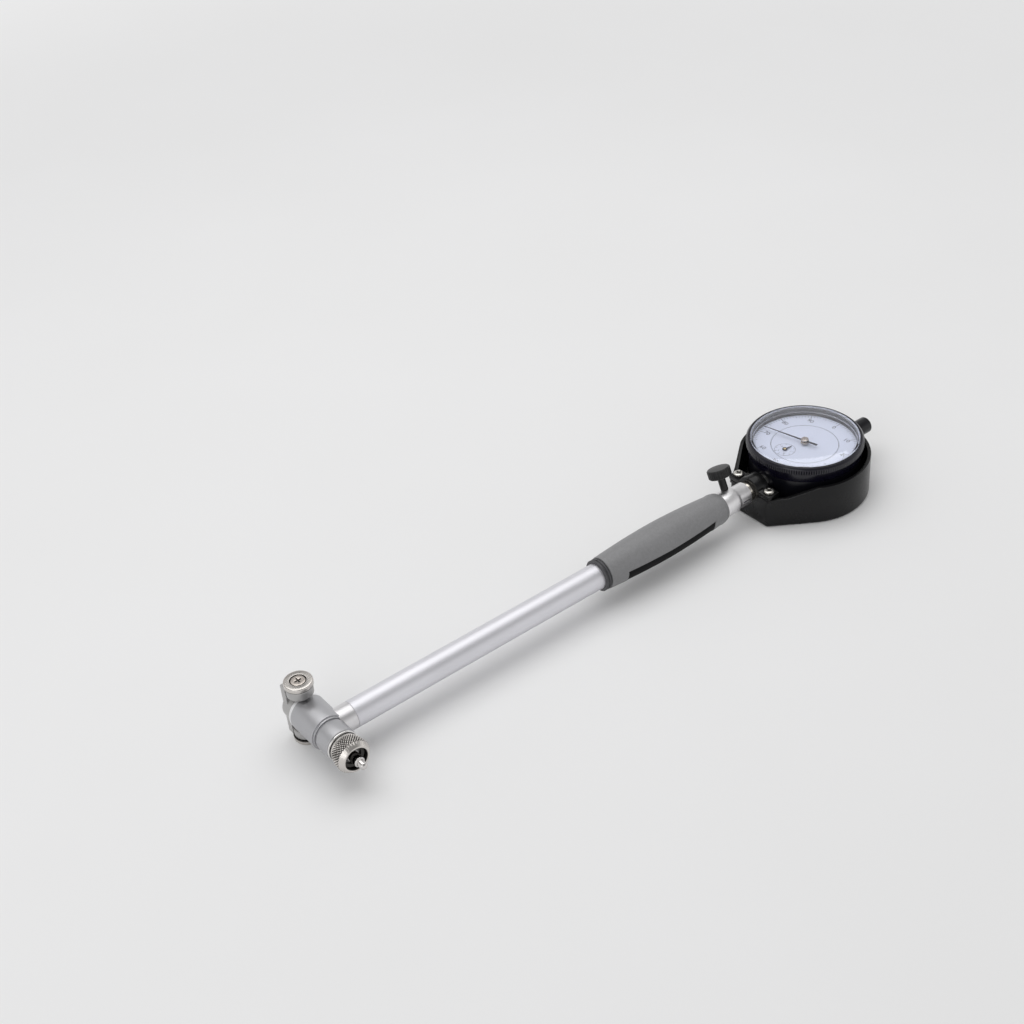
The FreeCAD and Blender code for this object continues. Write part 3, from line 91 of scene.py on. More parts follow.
@dataclass(frozen=True)
class Datum:
    """The places that the pieces are drawn from, in the frame, in metres."""

    head: Vector
    dial: Vector

    @classmethod
    def from_frame(cls) -> "Datum":
        """Read where the stem meets the measuring axis, and the dial's centre.

        Returns:
            The datum of this frame.
        """
        tube = node_centre("tube")
        wheel = node_centre("guide_wheel_upper")
        dial = node_centre("dial_ring")
        return cls(Vector((wheel.x, tube.y, tube.z)), Vector((dial.x, dial.y, tube.z)))


DATUM = Datum.from_frame()


# Shader building


class Nodes:
    """A node tree, with short calls for its nodes."""

    def __init__(self, tree: bpy.types.NodeTree) -> None:
        """Work in a tree."""
        self.tree = tree

    def feed(self, socket: Socket, value: object) -> None:
        """Link an output to a socket, or set the socket's own value.

        Args:
            socket: The socket.
            value: An output, a number, a vector or a colour.
        """
        if isinstance(value, Socket):
            self.tree.links.new(value, socket)
        elif socket.type == "RGBA":
            socket.default_value = (*value, 1.0)
        else:
            socket.default_value = value

    def node(
        self, kind: str, feeds: dict[int | str, object] | None = None, **settings: object
    ) -> bpy.types.Node:
        """Add a node.

        Args:
            kind: Blender's name of the node, without its ShaderNode.
            feeds: What its inputs get, by number or name.
            settings: Properties to set on it.

        Returns:
            The node.
        """
        made = self.tree.nodes.new("ShaderNode" + kind)
        for key, value in settings.items():
            setattr(made, key, value)
        for key, value in (feeds or {}).items():
            self.feed(made.inputs[key], value)
        return made

    def maths(self, operation: str, first: object, second: object = 0.0) -> Socket:
        """Combine two numbers, each given as a number or an output."""
        return self.node("Math", {0: first, 1: second}, operation=operation).outputs[0]

    def between(self, factor: object, low: float, high: float) -> Socket:
        """Spread a factor from 0 to 1 over a range."""
        return self.node("MapRange", {"Value": factor, "To Min": low, "To Max": high}).outputs["Result"]

    def sharpen(
        self, factor: object, low: float, high: float, first: float = 0.0, last: float = 1.0
    ) -> Socket:
        """Stretch the part of a factor between two levels softly from a first to a last value."""
        feeds = {"Value": factor, "From Min": low, "From Max": high, "To Min": first, "To Max": last}
        return self.node("MapRange", feeds, interpolation_type="SMOOTHSTEP").outputs["Result"]


class Shader(Nodes):
    """A material's nodes, with short calls for what the finishes share."""

    def __init__(self, name: str) -> None:
        """Start a material with its surface shader and its own coordinates.

        Args:
            name: The material's name.
        """
        self.material = bpy.data.materials.new(name)
        self.material.use_nodes = True
        super().__init__(self.material.node_tree)
        self.surface = self.tree.nodes["Principled BSDF"]
        self.place = self.node("TexCoord").outputs["Object"]

    def give(self, values: dict[str, object]) -> None:
        """Feed the surface's inputs, by their names."""
        for name, value in values.items():
            self.feed(self.surface.inputs[name], value)

    def dress(self, colour: object, rough: object, height: object, depth: float) -> None:
        """Feed the surface's colour and roughness and its relief.

        Args:
            colour: The colour.
            rough: The roughness.
            height: The relief's height, from 0 to 1.
            depth: How deep the relief goes, in metres.
        """
        relief = self.node("Bump", {"Distance": depth, "Height": height})
        self.give({"Base Color": colour, "Roughness": rough, "Normal": relief.outputs["Normal"]})

    def mixed(self, factor: object, other: bpy.types.Node) -> None:
        """Show another shader in place of the surface, by a factor."""
        mix = self.node("MixShader", {0: factor, 1: self.surface.outputs["BSDF"], 2: other.outputs[0]})
        self.feed(self.tree.nodes["Material Output"].inputs["Surface"], mix.outputs[0])

    def noise(self, scale: float, detail: float = 3.0, stretch: Vector | None = None) -> Socket:
        """Add a noise over the piece's own coordinates.

        Args:
            scale: Cycles per metre.
            detail: Octaves of finer noise.
            stretch: Factors on each coordinate, for grain that runs one way.

        Returns:
            A number from 0 to 1.
        """
        where = self.place
        if stretch is not None:
            where = self.node("VectorMath", {0: where, 1: stretch}, operation="MULTIPLY").outputs[0]
        return self.node("TexNoise", {"Vector": where, "Scale": scale, "Detail": detail}).outputs["Fac"]

    def turning_lines(self, axis: Axis, at: Vector, per_metre: float) -> Socket:
        """Add the fine rings that a lathe leaves, along the axis and across its faces.

        Args:
            axis: The line that the piece was turned about.
            at: A point on that line, in metres.
            per_metre: How closely the rings lie.

        Returns:
            A number from 0 to 1.
        """
        moved = self.node("VectorMath", {0: self.place, 1: at}, operation="SUBTRACT")
        parts = self.node("SeparateXYZ", {0: moved.outputs[0]}).outputs
        squares = [self.maths("MULTIPLY", parts[n], parts[n]) for n in range(3) if n != axis.index]
        reach = self.maths("SQRT", self.maths("ADD", *squares))
        line = self.maths("MULTIPLY", self.maths("ADD", parts[axis.index], reach), per_metre)
        feeds = {"W": line, "Scale": 1.0, "Detail": 2.0}
        return self.node("TexNoise", feeds, noise_dimensions="1D").outputs["Fac"]

    def tint(self, factor: object, first: object, second: object) -> Socket:
        """Mix two colours, each a colour or an output, by a factor."""
        return self.node("Mix", {0: factor, 6: first, 7: second}, data_type="RGBA").outputs[2]

    def dirty(self, colour: object, base: Colour, amount: float) -> object:
        """Darken a colour with painted shade where the piece's vertices mark it: knurl valleys, recesses
        and gaps.

        Args:
            colour: A colour or an output.
            base: The finish's own colour.
            amount: How dark the painted shade is, from 0 for none.

        Returns:
            The colour.
        """
        if amount <= 0:
            return colour
        shade_weights = self.node("Attribute", attribute_name="valley").outputs["Fac"]
        shaded = self.maths("MULTIPLY", self.sharpen(shade_weights, 0.05, 0.55), amount)
        return self.tint(shaded, colour, lighter(base, PAINTED_SHADE_TONE))


def lighter(colour: Colour, factor: float) -> Colour:
    """Scale a colour, keeping it at most white."""
    return tuple(min(1.0, channel * factor) for channel in colour)


@dataclass(frozen=True)
class Finish:
    """What every finish has."""

    name: str
    colour: Colour
    roughness: float

    def material(self) -> bpy.types.Material:
        """Return the finish's material, made once.

        Returns:
            The material.
        """
        made = bpy.data.materials.get(self.name)
        if made is None:
            shader = Shader(self.name)
            self.paint(shader)
            made = shader.material
            made.diffuse_color = (*self.colour, 1.0)
        return made

    def paint(self, shader: Shader) -> None:
        """Build the nodes of the finish."""
        shader.give({"Base Color": self.colour, "Roughness": self.roughness})

    def shades(self, shader: Shader, factor: Socket, dark: float, pale: float) -> Socket:
        """Return the colour from darker to paler, by a factor."""
        return shader.tint(factor, lighter(self.colour, dark), lighter(self.colour, pale))

    def polish(self, shader: Shader, factor: Socket, low: float, high: float) -> Socket:
        """Return the roughness from lower to higher, by a factor."""
        return shader.between(factor, self.roughness * low, self.roughness * high)


@dataclass(frozen=True)
class TurnedMetal(Finish):
    """Bare or plated metal with the fine rings of the lathe."""

    axis: Axis = Axis.X
    at: Place = (0.0, 0.0, 0.0)
    rings: float = 9000.0
    depth: float = 2.5e-6
    sheen_along_rings: float = 0.45
    # How dark the painted shade in marked hollows is, from 0 for none.
    grime: float = 0.0

    def paint(self, shader: Shader) -> None:
        """Build rings, handling marks, a slight change of tone and painted shade in the marked hollows."""
        tangent = shader.node("Tangent", direction_type="RADIAL", axis=self.axis.name).outputs[0]
        shader.give({"Metallic": 1.0, "Anisotropic": self.sheen_along_rings, "Tangent": tangent})
        rings = shader.turning_lines(self.axis, Vector(self.at), self.rings)
        halves = [shader.maths("MULTIPLY", one, 0.5) for one in (rings, shader.noise(160.0, 4.0))]
        # Painted shade darkens the hollows and knurl valleys that the vertices mark.
        colour = shader.dirty(self.shades(shader, rings, 0.9, 1.08), self.colour, self.grime)
        rough = self.polish(shader, shader.maths("ADD", *halves), 0.75, 1.3)
        shader.dress(colour, rough, rings, self.depth)


@dataclass(frozen=True)
class SatinTube(Finish):
    """Satin chromed tube with a grain that runs round it and a few fine scratches."""

    def paint(self, shader: Shader) -> None:
        """Build the grain, the scratches along the tube and faint handling marks."""
        shader.give({"Metallic": 1.0})
        grain = shader.noise(2600.0, 3.0, Vector((3.0, 0.4, 0.4)))
        scratches = shader.sharpen(shader.noise(900.0, 2.0, Vector((0.06, 1.0, 1.0))), 0.72, 0.8)
        scratches = shader.maths("MULTIPLY", scratches, 0.05)
        rough = shader.maths("ADD", self.polish(shader, grain, 0.8, 1.2), scratches)
        shader.dress(self.shades(shader, shader.noise(45.0, 4.0), 0.94, 1.04), rough, grain, 1.2e-6)


@dataclass(frozen=True)
class PlainMetal(Finish):
    """Plated or polished metal of no special grain: screws, springs and small parts."""

    depth: float = 3.0e-6
    # How dark the painted shade in marked hollows is, from 0 for none.
    grime: float = 0.0

    def paint(self, shader: Shader) -> None:
        """Build fine pitting, a cloudy change of roughness and painted shade in the marked hollows."""
        shader.give({"Metallic": 1.0})
        cloud = shader.noise(210.0, 3.0)
        # Painted shade darkens the hollows and knurl valleys that the vertices mark.
        colour = shader.dirty(self.shades(shader, cloud, 0.92, 1.06), self.colour, self.grime)
        shader.dress(colour, self.polish(shader, cloud, 0.7, 1.35), shader.noise(2200.0, 4.0), self.depth)


@dataclass(frozen=True)
class BrushedBrass(Finish):
    """Movement brass, straight brushed."""

    def paint(self, shader: Shader) -> None:
        """Build brush lines along X."""
        shader.give({"Metallic": 1.0})
        lines = shader.noise(3000.0, 3.0, Vector((0.05, 1.0, 1.0)))
        tone = self.shades(shader, lines, 0.86, 1.1)
        shader.dress(tone, self.polish(shader, lines, 0.7, 1.3), lines, 3.0e-6)


@dataclass(frozen=True)
class GrainedPlastic(Finish):
    """Moulded plastic with a fine spark-eroded grain."""

    grain: float = 1500.0
    depth: float = 3.0e-5

    def paint(self, shader: Shader) -> None:
        """Build the grain, pale flecks and a broad change of tone from handling."""
        flecks = shader.sharpen(shader.noise(self.grain * 1.6, 2.0), 0.58, 0.72)
        wear = shader.noise(38.0, 3.0)
        mottle = shader.maths("MULTIPLY", shader.maths("ADD", wear, shader.noise(750.0, 2.0)), 0.5)
        tone = self.shades(shader, shader.sharpen(mottle, 0.3, 0.7), 0.92, 1.07)
        tone = shader.tint(shader.maths("MULTIPLY", flecks, 0.3), tone, lighter(self.colour, 1.5))
        shader.dress(tone, self.polish(shader, wear, 0.85, 1.15), shader.noise(self.grain, 4.0), self.depth)


@dataclass(frozen=True)
class Enamel(Finish):
    """Smooth dark paint or black anodising, with dust and a slight orange peel."""

    gloss: float = 0.5
    peel: float = 700.0
    depth: float = 8.0e-6
    reflects: float = 0.5

    def paint(self, shader: Shader) -> None:
        """Build the peel, a thin clear coat and a dusting of paler specks."""
        shader.give({"Coat Weight": self.gloss, "Coat Roughness": 0.12,
                     "Specular IOR Level": self.reflects})
        cloud = shader.noise(70.0, 3.0)
        specks = shader.sharpen(shader.noise(5200.0, 1.0), 0.72, 0.8)
        tone = self.shades(shader, cloud, 0.8, 1.25)
        tone = shader.tint(shader.maths("MULTIPLY", specks, 0.12), tone, lighter(self.colour, 6.0))
        shader.dress(tone, self.polish(shader, cloud, 0.8, 1.2), shader.noise(self.peel, 2.0), self.depth)


@dataclass(frozen=True)
class DialPaint(Finish):
    """Matt dial lacquer with a hardly visible grain."""

    def paint(self, shader: Shader) -> None:
        """Build the lacquer's grain."""
        grain = shader.noise(2400.0, 3.0)
        tone = self.shades(shader, shader.noise(60.0, 2.0), 0.975, 1.02)
        shader.dress(tone, self.polish(shader, grain, 0.9, 1.1), grain, 2.0e-6)


@dataclass(frozen=True)
class ClearWindow(Finish):
    """Clear moulded window that lets the light onto the dial."""

    def paint(self, shader: Shader) -> None:
        """Build clear plastic with faint wiping marks; its shadow stays light."""
        wipes = shader.noise(700.0, 2.0, Vector((0.2, 1.0, 1.0)))
        shader.give({"Base Color": self.colour, "Transmission Weight": 1.0, "IOR": 1.46,
                     "Roughness": shader.between(wipes, 0.0, self.roughness)})
        open_way = shader.node("BsdfTransparent", {"Color": (0.97, 0.97, 0.98)})
        shader.mixed(shader.node("LightPath").outputs["Is Shadow Ray"], open_way)


# Mesh building


@dataclass(frozen=True)
class Corner:
    """A corner of a turned piece's outline, in millimetres from its datum."""

    along: float
    radius: float
    rounding: float = 0.0
    # Share of painted shade at this corner, from 0 for none, for hollows that lie in shade.
    dirt: float = 0.0


def rounded_outline(corners: list[Corner], closed: bool) -> list[Station]:
    """Round the corners of an outline.

    Args:
        corners: The outline.
        closed: Whether its last corner joins its first.

    Returns:
        The points of the rounded outline, each with its share of painted shade.
    """
    steps = 4
    share = 0.45
    points: list[Station] = []
    for n, corner in enumerate(corners):
        here = Vector((corner.along, corner.radius))
        at_end = not closed and n in (0, len(corners) - 1)
        if corner.rounding <= 0 or at_end:
            points.append((*here, corner.dirt))
            continue
        before = corners[n - 1]
        after = corners[(n + 1) % len(corners)]
        back = Vector((before.along, before.radius)) - here
        ahead = Vector((after.along, after.radius)) - here
        cut = min(corner.rounding, back.length * share, ahead.length * share)
        start, end = here + back.normalized() * cut, here + ahead.normalized() * cut
        for step in range(steps + 1):
            t = step / steps
            point = start * (1 - t) ** 2 + here * 2 * t * (1 - t) + end * t ** 2
            points.append((*point, corner.dirt))
    return points


@dataclass(frozen=True)
class Knurl:
    """A rolled pattern on a turned piece, in millimetres."""

    start: float
    end: float
    count: int
    depth: float
    inside: float
    pitch: float = 0.5
    lead: float = 0.0
    run_out: float = 0.3
    steepness: float = 1.25

    def covers(self, along: float, radius: float) -> bool:
        """Return whether the pattern reaches a place of the outline."""
        return self.start <= along <= self.end and radius > self.inside

    def divided(self, points: list[Station]) -> list[Station]:
        """Add points to the stretch of an outline that carries the pattern.

        Args:
            points: The outline.

        Returns:
            The outline with its extra points.
        """
        made = [points[0]]
        for first, second in zip(points, points[1:]):
            covered = self.covers((first[0] + second[0]) / 2, (first[1] + second[1]) / 2)
            parts = max(1, math.ceil(math.dist(first[:2], second[:2]) / self.pitch)) if covered else 1
            for part in range(1, parts + 1):
                t = part / parts
                made.append(tuple(a + (b - a) * t for a, b in zip(first, second)))
        return made

    def valley(self, along: float, radius: float, angle: float) -> float:
        """Return how deep in a valley a place is, from 0 on a ridge to 1.

        Args:
            along: The place along the axis.
            radius: Its distance from the axis.
            angle: The angle about it.

        Returns:
            The share of the full depth.
        """
        if not self.covers(along, radius):
            return 0.0
        fade = min(1.0, (along - self.start) / self.run_out, (self.end - along) / self.run_out)
        turn = angle * self.count / 2
        shift = math.pi * (along - self.start) / self.lead if self.lead else 0.0
        ridge = min(abs(math.sin(turn + shift)), abs(math.sin(turn - shift)))
        return fade * (1.0 - min(1.0, ridge * self.steepness))


def to_mesh(name: str, shape: bmesh.types.BMesh, outwards: bool = False) -> bpy.types.Mesh:
    """Store a shape as a mesh.

    Args:
        name: The mesh's name.
        shape: The shape, which is used up.
        outwards: Whether its faces are first turned outwards.

    Returns:
        The mesh.
    """
    if outwards:
        bmesh.ops.recalc_face_normals(shape, faces=shape.faces)
    mesh = bpy.data.meshes.new(name)
    shape.to_mesh(mesh)
    shape.free()
    return mesh


def placed(name: str, data: bpy.types.ID) -> bpy.types.Object:
    """Put an object with its data in the scene.

    Args:
        name: Its name.
        data: Its mesh, curve, light or camera.

    Returns:
        The object.
    """
    made = bpy.data.objects.new(name, data)
    bpy.context.scene.collection.objects.link(made)
    return made


def smooth_piece(mesh: bpy.types.Mesh, sharp: float = 32.0) -> bpy.types.Object:
    """Shade a mesh smooth between its sharp edges and put it in the scene.

    Args:
        mesh: The mesh, in metres, with the piece's name.
        sharp: The angle above which an edge stays sharp, in degrees.

    Returns:
        The object.
    """
    for polygon in mesh.polygons:
        polygon.use_smooth = True
    mesh.set_sharp_from_angle(angle=math.radians(sharp))
    return placed(mesh.name, mesh)


def skin(shape: bmesh.types.BMesh, rings: list[list[bmesh.types.BMVert]], closed: bool = False) -> None:
    """Join each ring of vertices to the next one.

    Args:
        shape: The shape.
        rings: The rings; one on the axis is a single point.
        closed: Whether the last ring joins the first.
    """
    following = rings[1:] + rings[:1] if closed else rings[1:]
    for first, second in zip(rings, following):
        for step in range(max(len(first), len(second))):
            before = [ring[step % len(ring)] for ring in (first, second)]
            after = [ring[(step + 1) % len(ring)] for ring in (second, first)]
            shape.faces.new(tuple(dict.fromkeys(before + after)))


def turn_piece(
    name: str,
    corners: list[Corner],
    axis: Axis,
    at: Vector,
    steps: int = 96,
    closed: bool = False,
    knurl: Knurl | None = None,
) -> bpy.types.Object:
    """Turn a piece from its outline.

    Args:
        name: The piece's name.
        corners: The outline, in millimetres from the datum.
        axis: The axis that it is turned about.
        at: The datum, in metres.
        steps: Facets round the axis.
        closed: Whether the outline is a closed ring section.
        knurl: A pattern rolled into it.

    Returns:
        The object.
    """
    points = rounded_outline(corners, closed)
    if knurl:
        points = knurl.divided(points)
    shape = bmesh.new()
    shade_layer = shape.verts.layers.float.new("valley")
    rings = []
    for along, radius, dirt in points:
        ring = []
        for step in range(steps if radius > 0 else 1):
            angle = 2 * math.pi * step / steps
            valley = knurl.valley(along, radius, angle) if knurl else 0.0
            reach = radius - (knurl.depth * valley if knurl else 0.0)
            ring.append(shape.verts.new(axis.spot(at, reach, angle, along)))
            # The layer holds painted shade: knurl valleys and the corners marked as shaded come out dark.
            ring[-1][shade_layer] = max(valley, dirt)
        rings.append(ring)
    skin(shape, rings, closed)
    return smooth_piece(to_mesh(name, shape, outwards=True))


@dataclass(frozen=True)
class Coil:
    """The sizes of a wound spring, in millimetres from its datum."""

    radius: float
    start: float
    end: float
    turns: int
    wire: float = WIRE_R

    def wind(self, name: str, axis: Axis, at: Vector) -> bpy.types.Object:
        """Wind the spring about an axis.

        Args:
            name: The piece's name.
            axis: The axis.
            at: The datum, in metres.

        Returns:
            The object.
        """
        steps, sides = 28 * self.turns, 10
        shape = bmesh.new()
        rings = []
        for step in range(steps + 1):
            angle = 2 * math.pi * step * self.turns / steps
            middle = self.start + self.wire + (self.end - self.start - 2 * self.wire) * step / steps
            ring = []
            for side in range(sides):
                around = 2 * math.pi * side / sides
                reach = self.radius + self.wire * math.cos(around)
                along = middle + self.wire * math.sin(around)
                ring.append(shape.verts.new(axis.spot(at, reach, angle, along)))
            rings.append(ring)
        skin(shape, rings)
        shape.faces.new(rings[0])
        shape.faces.new(rings[-1][::-1])
        return smooth_piece(to_mesh(name, shape, outwards=True))


def break_edges(
    shape: bmesh.types.BMesh, sharp: float, width: float, segments: int, where: Test | None = None
) -> None:
    """Round the sharp edges of a shape.

    Args:
        shape: The shape.
        sharp: The angle above which an edge is sharp, in degrees.
        width: How wide the rounding is, in millimetres.
        segments: Its facets.
        where: Whether the edge with this middle is rounded, at its full width; all are, if none is given.
    """
    limit = math.radians(sharp)
    edges = [edge for edge in shape.edges if len(edge.link_faces) == 2 and edge.calc_face_angle() > limit]
    if where:
        edges = [edge for edge in edges if where((edge.verts[0].co + edge.verts[1].co) / 2)]
    bmesh.ops.bevel(shape, geom=edges, offset=width * MM, offset_type="OFFSET", segments=segments,
                    profile=0.6, affect="EDGES", clamp_overlap=where is None)


def soft_edged(
    name: str,
    node: str,
    width: float,
    wide: float = 0.0,
    where: Test | None = None,
    dirt: Test | None = None,
) -> bpy.types.Object:
    """Draw a node again with its sharp edges broken, as a maker deburrs them.

    Args:
        name: The piece's name.
        node: The node that it stands for.
        width: The width of the broken edge, in millimetres.
        wide: The width of the moulded rounding on some of its edges.
        where: Whether the edge with this middle has that rounding.
        dirt: Whether painted shade lies at a place.

    Returns:
        The object.
    """
    sharp = 32.0
    shape = bmesh.new()
    shape.from_mesh(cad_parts[node].data)
    bmesh.ops.remove_doubles(shape, verts=shape.verts, dist=1e-6)
    bmesh.ops.dissolve_limit(shape, angle_limit=math.radians(0.5), verts=shape.verts, edges=shape.edges)
    if where:
        break_edges(shape, sharp, wide, 4, where)
    break_edges(shape, sharp, width, 2)
    bmesh.ops.triangulate(shape, faces=[f for f in shape.faces if len(f.verts) > 4])
    # Painted shade: the places that the test gives are darkened by the finish.
    if dirt:
        shade_weights = shape.verts.layers.float.new("valley")
        for vert in shape.verts:
            vert[shade_weights] = float(dirt(vert.co))
    return smooth_piece(to_mesh(name, shape), sharp=40.0)


def recess(node: str, depth: float, reach: float, mirrored: bool = False) -> Test:
    """Return the test for the painted shade in the recesses of a node's screw heads.

    Args:
        node: The node, with its heads level with the top of its box.
        depth: How far below the top the painted shade begins, in millimetres.
        reach: How far below the top it ends.
        mirrored: Whether the node has the same heads at the bottom of its box.

    Returns:
        The test of a place.
    """
    low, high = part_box(node)

    def inside(spot: Vector) -> bool:
        """Return whether a place is in a recess."""
        below = min(high.z - spot.z, spot.z - low.z) if mirrored else high.z - spot.z
        return depth * MM < below < reach * MM

    return inside


def joined(name: str, parts: Iterable[bpy.types.Mesh]) -> bpy.types.Object:
    """Join meshes into one piece.

    Args:
        name: The piece's name.
        parts: The meshes, each already in place.

    Returns:
        The object.
    """
    shape = bmesh.new()
    for part in parts:
        shape.from_mesh(part)
        bpy.data.meshes.remove(part)
    return smooth_piece(to_mesh(name, shape))


def slab(outline: list[Point], low: float, high: float, matrix: Matrix) -> bpy.types.Mesh:
    """Extrude a flat outline.

    Args:
        outline: Its corners, in order, in millimetres.
        low: The lower level, in millimetres.
        high: The upper level.
        matrix: Where it goes, in metres.

    Returns:
        The mesh.
    """
    shape = bmesh.new()
    levels = [[shape.verts.new(matrix @ (Vector((x, y, z)) * MM)) for x, y in outline] for z in (low, high)]
    shape.faces.new(levels[0][::-1])
    shape.faces.new(levels[1])
    skin(shape, levels)
    return to_mesh("slab", shape, outwards=True)


def finish_piece(
    piece: bpy.types.Object, finish: Finish, slot: str, *nodes: str, body: str = "gauge"
) -> None:
    """Give a new piece its finish, the body that it rides on and the nodes it replaces.

    Args:
        piece: The piece.
        finish: Its finish.
        slot: The record's material slot; not used.
        nodes: The nodes that it stands for.
        body: The body.
    """
    piece.data.materials.clear()
    piece.data.materials.append(finish.material())
    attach(piece, body)
    if nodes:
        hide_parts(*nodes)
    logging.info("%s rides on %s", piece.name, body)


def finish_soft(name: str, node: str, width: float, finish: Finish, slot: str, body: str = "gauge") -> None:
    """Draw a node again with its edges broken, and give it its finish."""
    finish_piece(soft_edged(name, node, width), finish, slot, node, body=body)


def finish_nodes(finish: Finish, *nodes: str) -> None:
    """Give nodes of the frame a better material.

    Args:
        finish: Their finish.
        nodes: The nodes.
    """
    for node in nodes:
        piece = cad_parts[node]
        piece.data.materials.clear()
        piece.data.materials.append(finish.material())
        for polygon in piece.data.polygons:
            polygon.material_index = 0
        logging.info("%s keeps its shape", node)


# Finishes that several sub-assemblies share

SCREW_STEEL = PlainMetal("zinc_plated_screw", (0.66, 0.64, 0.60), 0.22)
SPRING_WIRE = PlainMetal("spring_wire", (0.42, 0.42, 0.43), 0.3)
GROUND_STEEL = PlainMetal("ground_steel", (0.62, 0.61, 0.59), 0.22)
BUSH_BRASS = PlainMetal("bush_brass", (0.70, 0.52, 0.24), 0.3)
MOVEMENT_BRASS = BrushedBrass("movement_brass", (0.76, 0.60, 0.28), 0.28)
BLACK_CASE = Enamel("black_case_lacquer", (0.0045, 0.0045, 0.007), 0.3, gloss=0.08, reflects=0.3)
BLACK_GUARD = Enamel("black_guard_enamel", (0.004, 0.004, 0.0045), 0.27, gloss=0.1, reflects=0.22)


@dataclass
class MeasuringHead:
    """Barrel, bridge, guide wheels, anvil and lock nut."""

    barrel_r: float = 8.5
    rim_y: float = 16.4
    rim_w: float = 2.2
    bore_r: float = 7.35
    bore_floor_y: float = 8.0
    shoulder_y: float = -2.6
    shoulder_r: float = 7.9
    shoulder_w: float = 1.0
    groove_r: float = 7.1
    groove_w: float = 0.8
    neck_r: float = 7.5
    neck_y: float = -12.7
    spigot_r: float = 6.0
    spigot_y: float = -19.4
    shank_r: float = 2.4
    shank_l: float = 5.8
    collar_r: float = 4.6
    collar_l: float = 1.5
    tip_y: float = -26.4
    tip_r: float = 1.75
    anvil_y: float = -30.2
    nut_rear_y: float = -14.4
    nut_knurl_y: float = -21.6
    nut_front_y: float = -24.0
    nut_r: float = 8.0
    nut_rear_r: float = 6.9
    nut_face_r: float = 6.2
    nut_ridges: int = 38
    mouth_r: float = 5.2
    throat_r: float = 3.9
    throat_l: float = 3.0
    seat_r: float = 7.35
    wheel_r: float = 6.5
    wheel_face: float = 16.0
    wheel_back: float = 13.7
    wheel_bore_r: float = 2.55
    recess_r: float = 3.7
    recess_l: float = 1.0
    boss_r: float = 6.0
    spring_r: float = 4.25
    spring_from_y: float = 8.1
    spring_to_y: float = 19.9
    spring_turns: int = 5
    bridge_travel: float = 3.0
    at: Vector = field(default_factory=lambda: DATUM.head)

    @property
    def axle(self) -> Vector:
        """The middle of the wheels' axis."""
        return Vector((self.at.x, node_centre("guide_wheel_upper").y, self.at.z))

    def steel(self, name: str, colour: Colour, roughness: float, grime: float = 0.0) -> TurnedMetal:
        """Return steel turned about the measuring axis."""
        return TurnedMetal(name, colour, roughness, axis=Axis.Y, at=tuple(self.at), grime=grime)

    def barrel(self) -> bpy.types.Object:
        """Return the barrel with its neck, groove and bore."""
        shoulder_end = self.shoulder_y - self.shoulder_w
        groove_end = shoulder_end - self.groove_w
        shank_end = self.spigot_y + self.shank_l + 0.2
        rim_start = self.rim_y - self.rim_w
        corners = [
            Corner(shank_end, 0.0),
            Corner(shank_end, self.shank_r + 0.02),
            Corner(self.spigot_y, self.shank_r + 0.02),
            Corner(self.spigot_y, self.spigot_r, 0.3),
            Corner(self.neck_y, self.spigot_r),
            Corner(self.neck_y, self.neck_r, 0.35),
            Corner(groove_end, self.neck_r, 0.1),
            Corner(groove_end, self.groove_r, 0.12),
            Corner(shoulder_end, self.groove_r, 0.12),
            Corner(shoulder_end, self.shoulder_r, 0.2),
            Corner(self.shoulder_y, self.shoulder_r, 0.08),
            Corner(self.shoulder_y, self.barrel_r, 0.35),
            Corner(rim_start, self.barrel_r, 0.05),
            Corner(rim_start, self.bore_r),
            Corner(self.bore_floor_y, self.bore_r, 0.1),
            Corner(self.bore_floor_y, 0.0),
        ]
        return turn_piece("barrel", corners, Axis.Y, self.at, 128)

    def rim(self) -> bpy.types.Object:
        """Return the barrel's rim, polished round its mouth."""
        corners = [
            Corner(self.rim_y - self.rim_w, self.bore_r),
            Corner(self.rim_y - self.rim_w, self.barrel_r - 0.01, 0.05),
            Corner(self.rim_y - 1.1, self.barrel_r - 0.04, 0.8),
            Corner(self.rim_y, self.barrel_r - 0.55, 0.3),
            Corner(self.rim_y, self.bore_r, 0.2),
        ]
        return turn_piece("polished_barrel_rim", corners, Axis.Y, self.at, 128, closed=True)

    def lock_nut(self) -> bpy.types.Object:
        """Return the domed nut with its diamond knurl and polished mouth, and painted shade in its throat
        and knurl valleys.
        """
        middle_y = (self.nut_rear_y + self.nut_knurl_y) / 2
        middle_r = (self.nut_r + self.nut_rear_r) / 2 + 0.35
        throat = self.nut_front_y + self.throat_l
        # Painted shade fills the throat and mouth, dark as a deep bore in shadow; the knurl's valleys get
        # painted shade too.
        corners = [
            Corner(throat - 0.1, self.throat_r, 0.1, dirt=1.0),
            Corner(throat - 0.5, self.mouth_r, 0.2, dirt=1.0),
            Corner(self.nut_front_y + 0.5, self.mouth_r, 0.1, dirt=0.8),
            Corner(self.nut_front_y, self.mouth_r + 0.4, 0.1, dirt=0.1),
            Corner(self.nut_front_y, self.nut_face_r, 0.25),
            Corner(self.nut_knurl_y - 0.4, self.nut_r - 0.3),
            Corner(self.nut_knurl_y, self.nut_r, 0.3),
            Corner(middle_y, middle_r, 1.6),
            Corner(self.nut_rear_y - 1.1, self.nut_rear_r + 0.15, 0.1),
            Corner(self.nut_rear_y - 0.9, self.nut_rear_r - 0.1, 0.1),
            Corner(self.nut_rear_y, self.nut_rear_r - 0.1, 0.35),
            Corner(self.nut_rear_y, self.spigot_r + 0.1),
            Corner(throat, self.spigot_r + 0.1),
            Corner(throat, self.throat_r, dirt=1.0),
        ]
        knurl = Knurl(self.nut_knurl_y - 0.35, self.nut_rear_y - 1.0, self.nut_ridges, 0.5,
                      self.spigot_r + 0.6, pitch=0.14, lead=1.4)
        return turn_piece("knurled_lock_nut", corners, Axis.Y, self.at, 12 * self.nut_ridges, True, knurl)

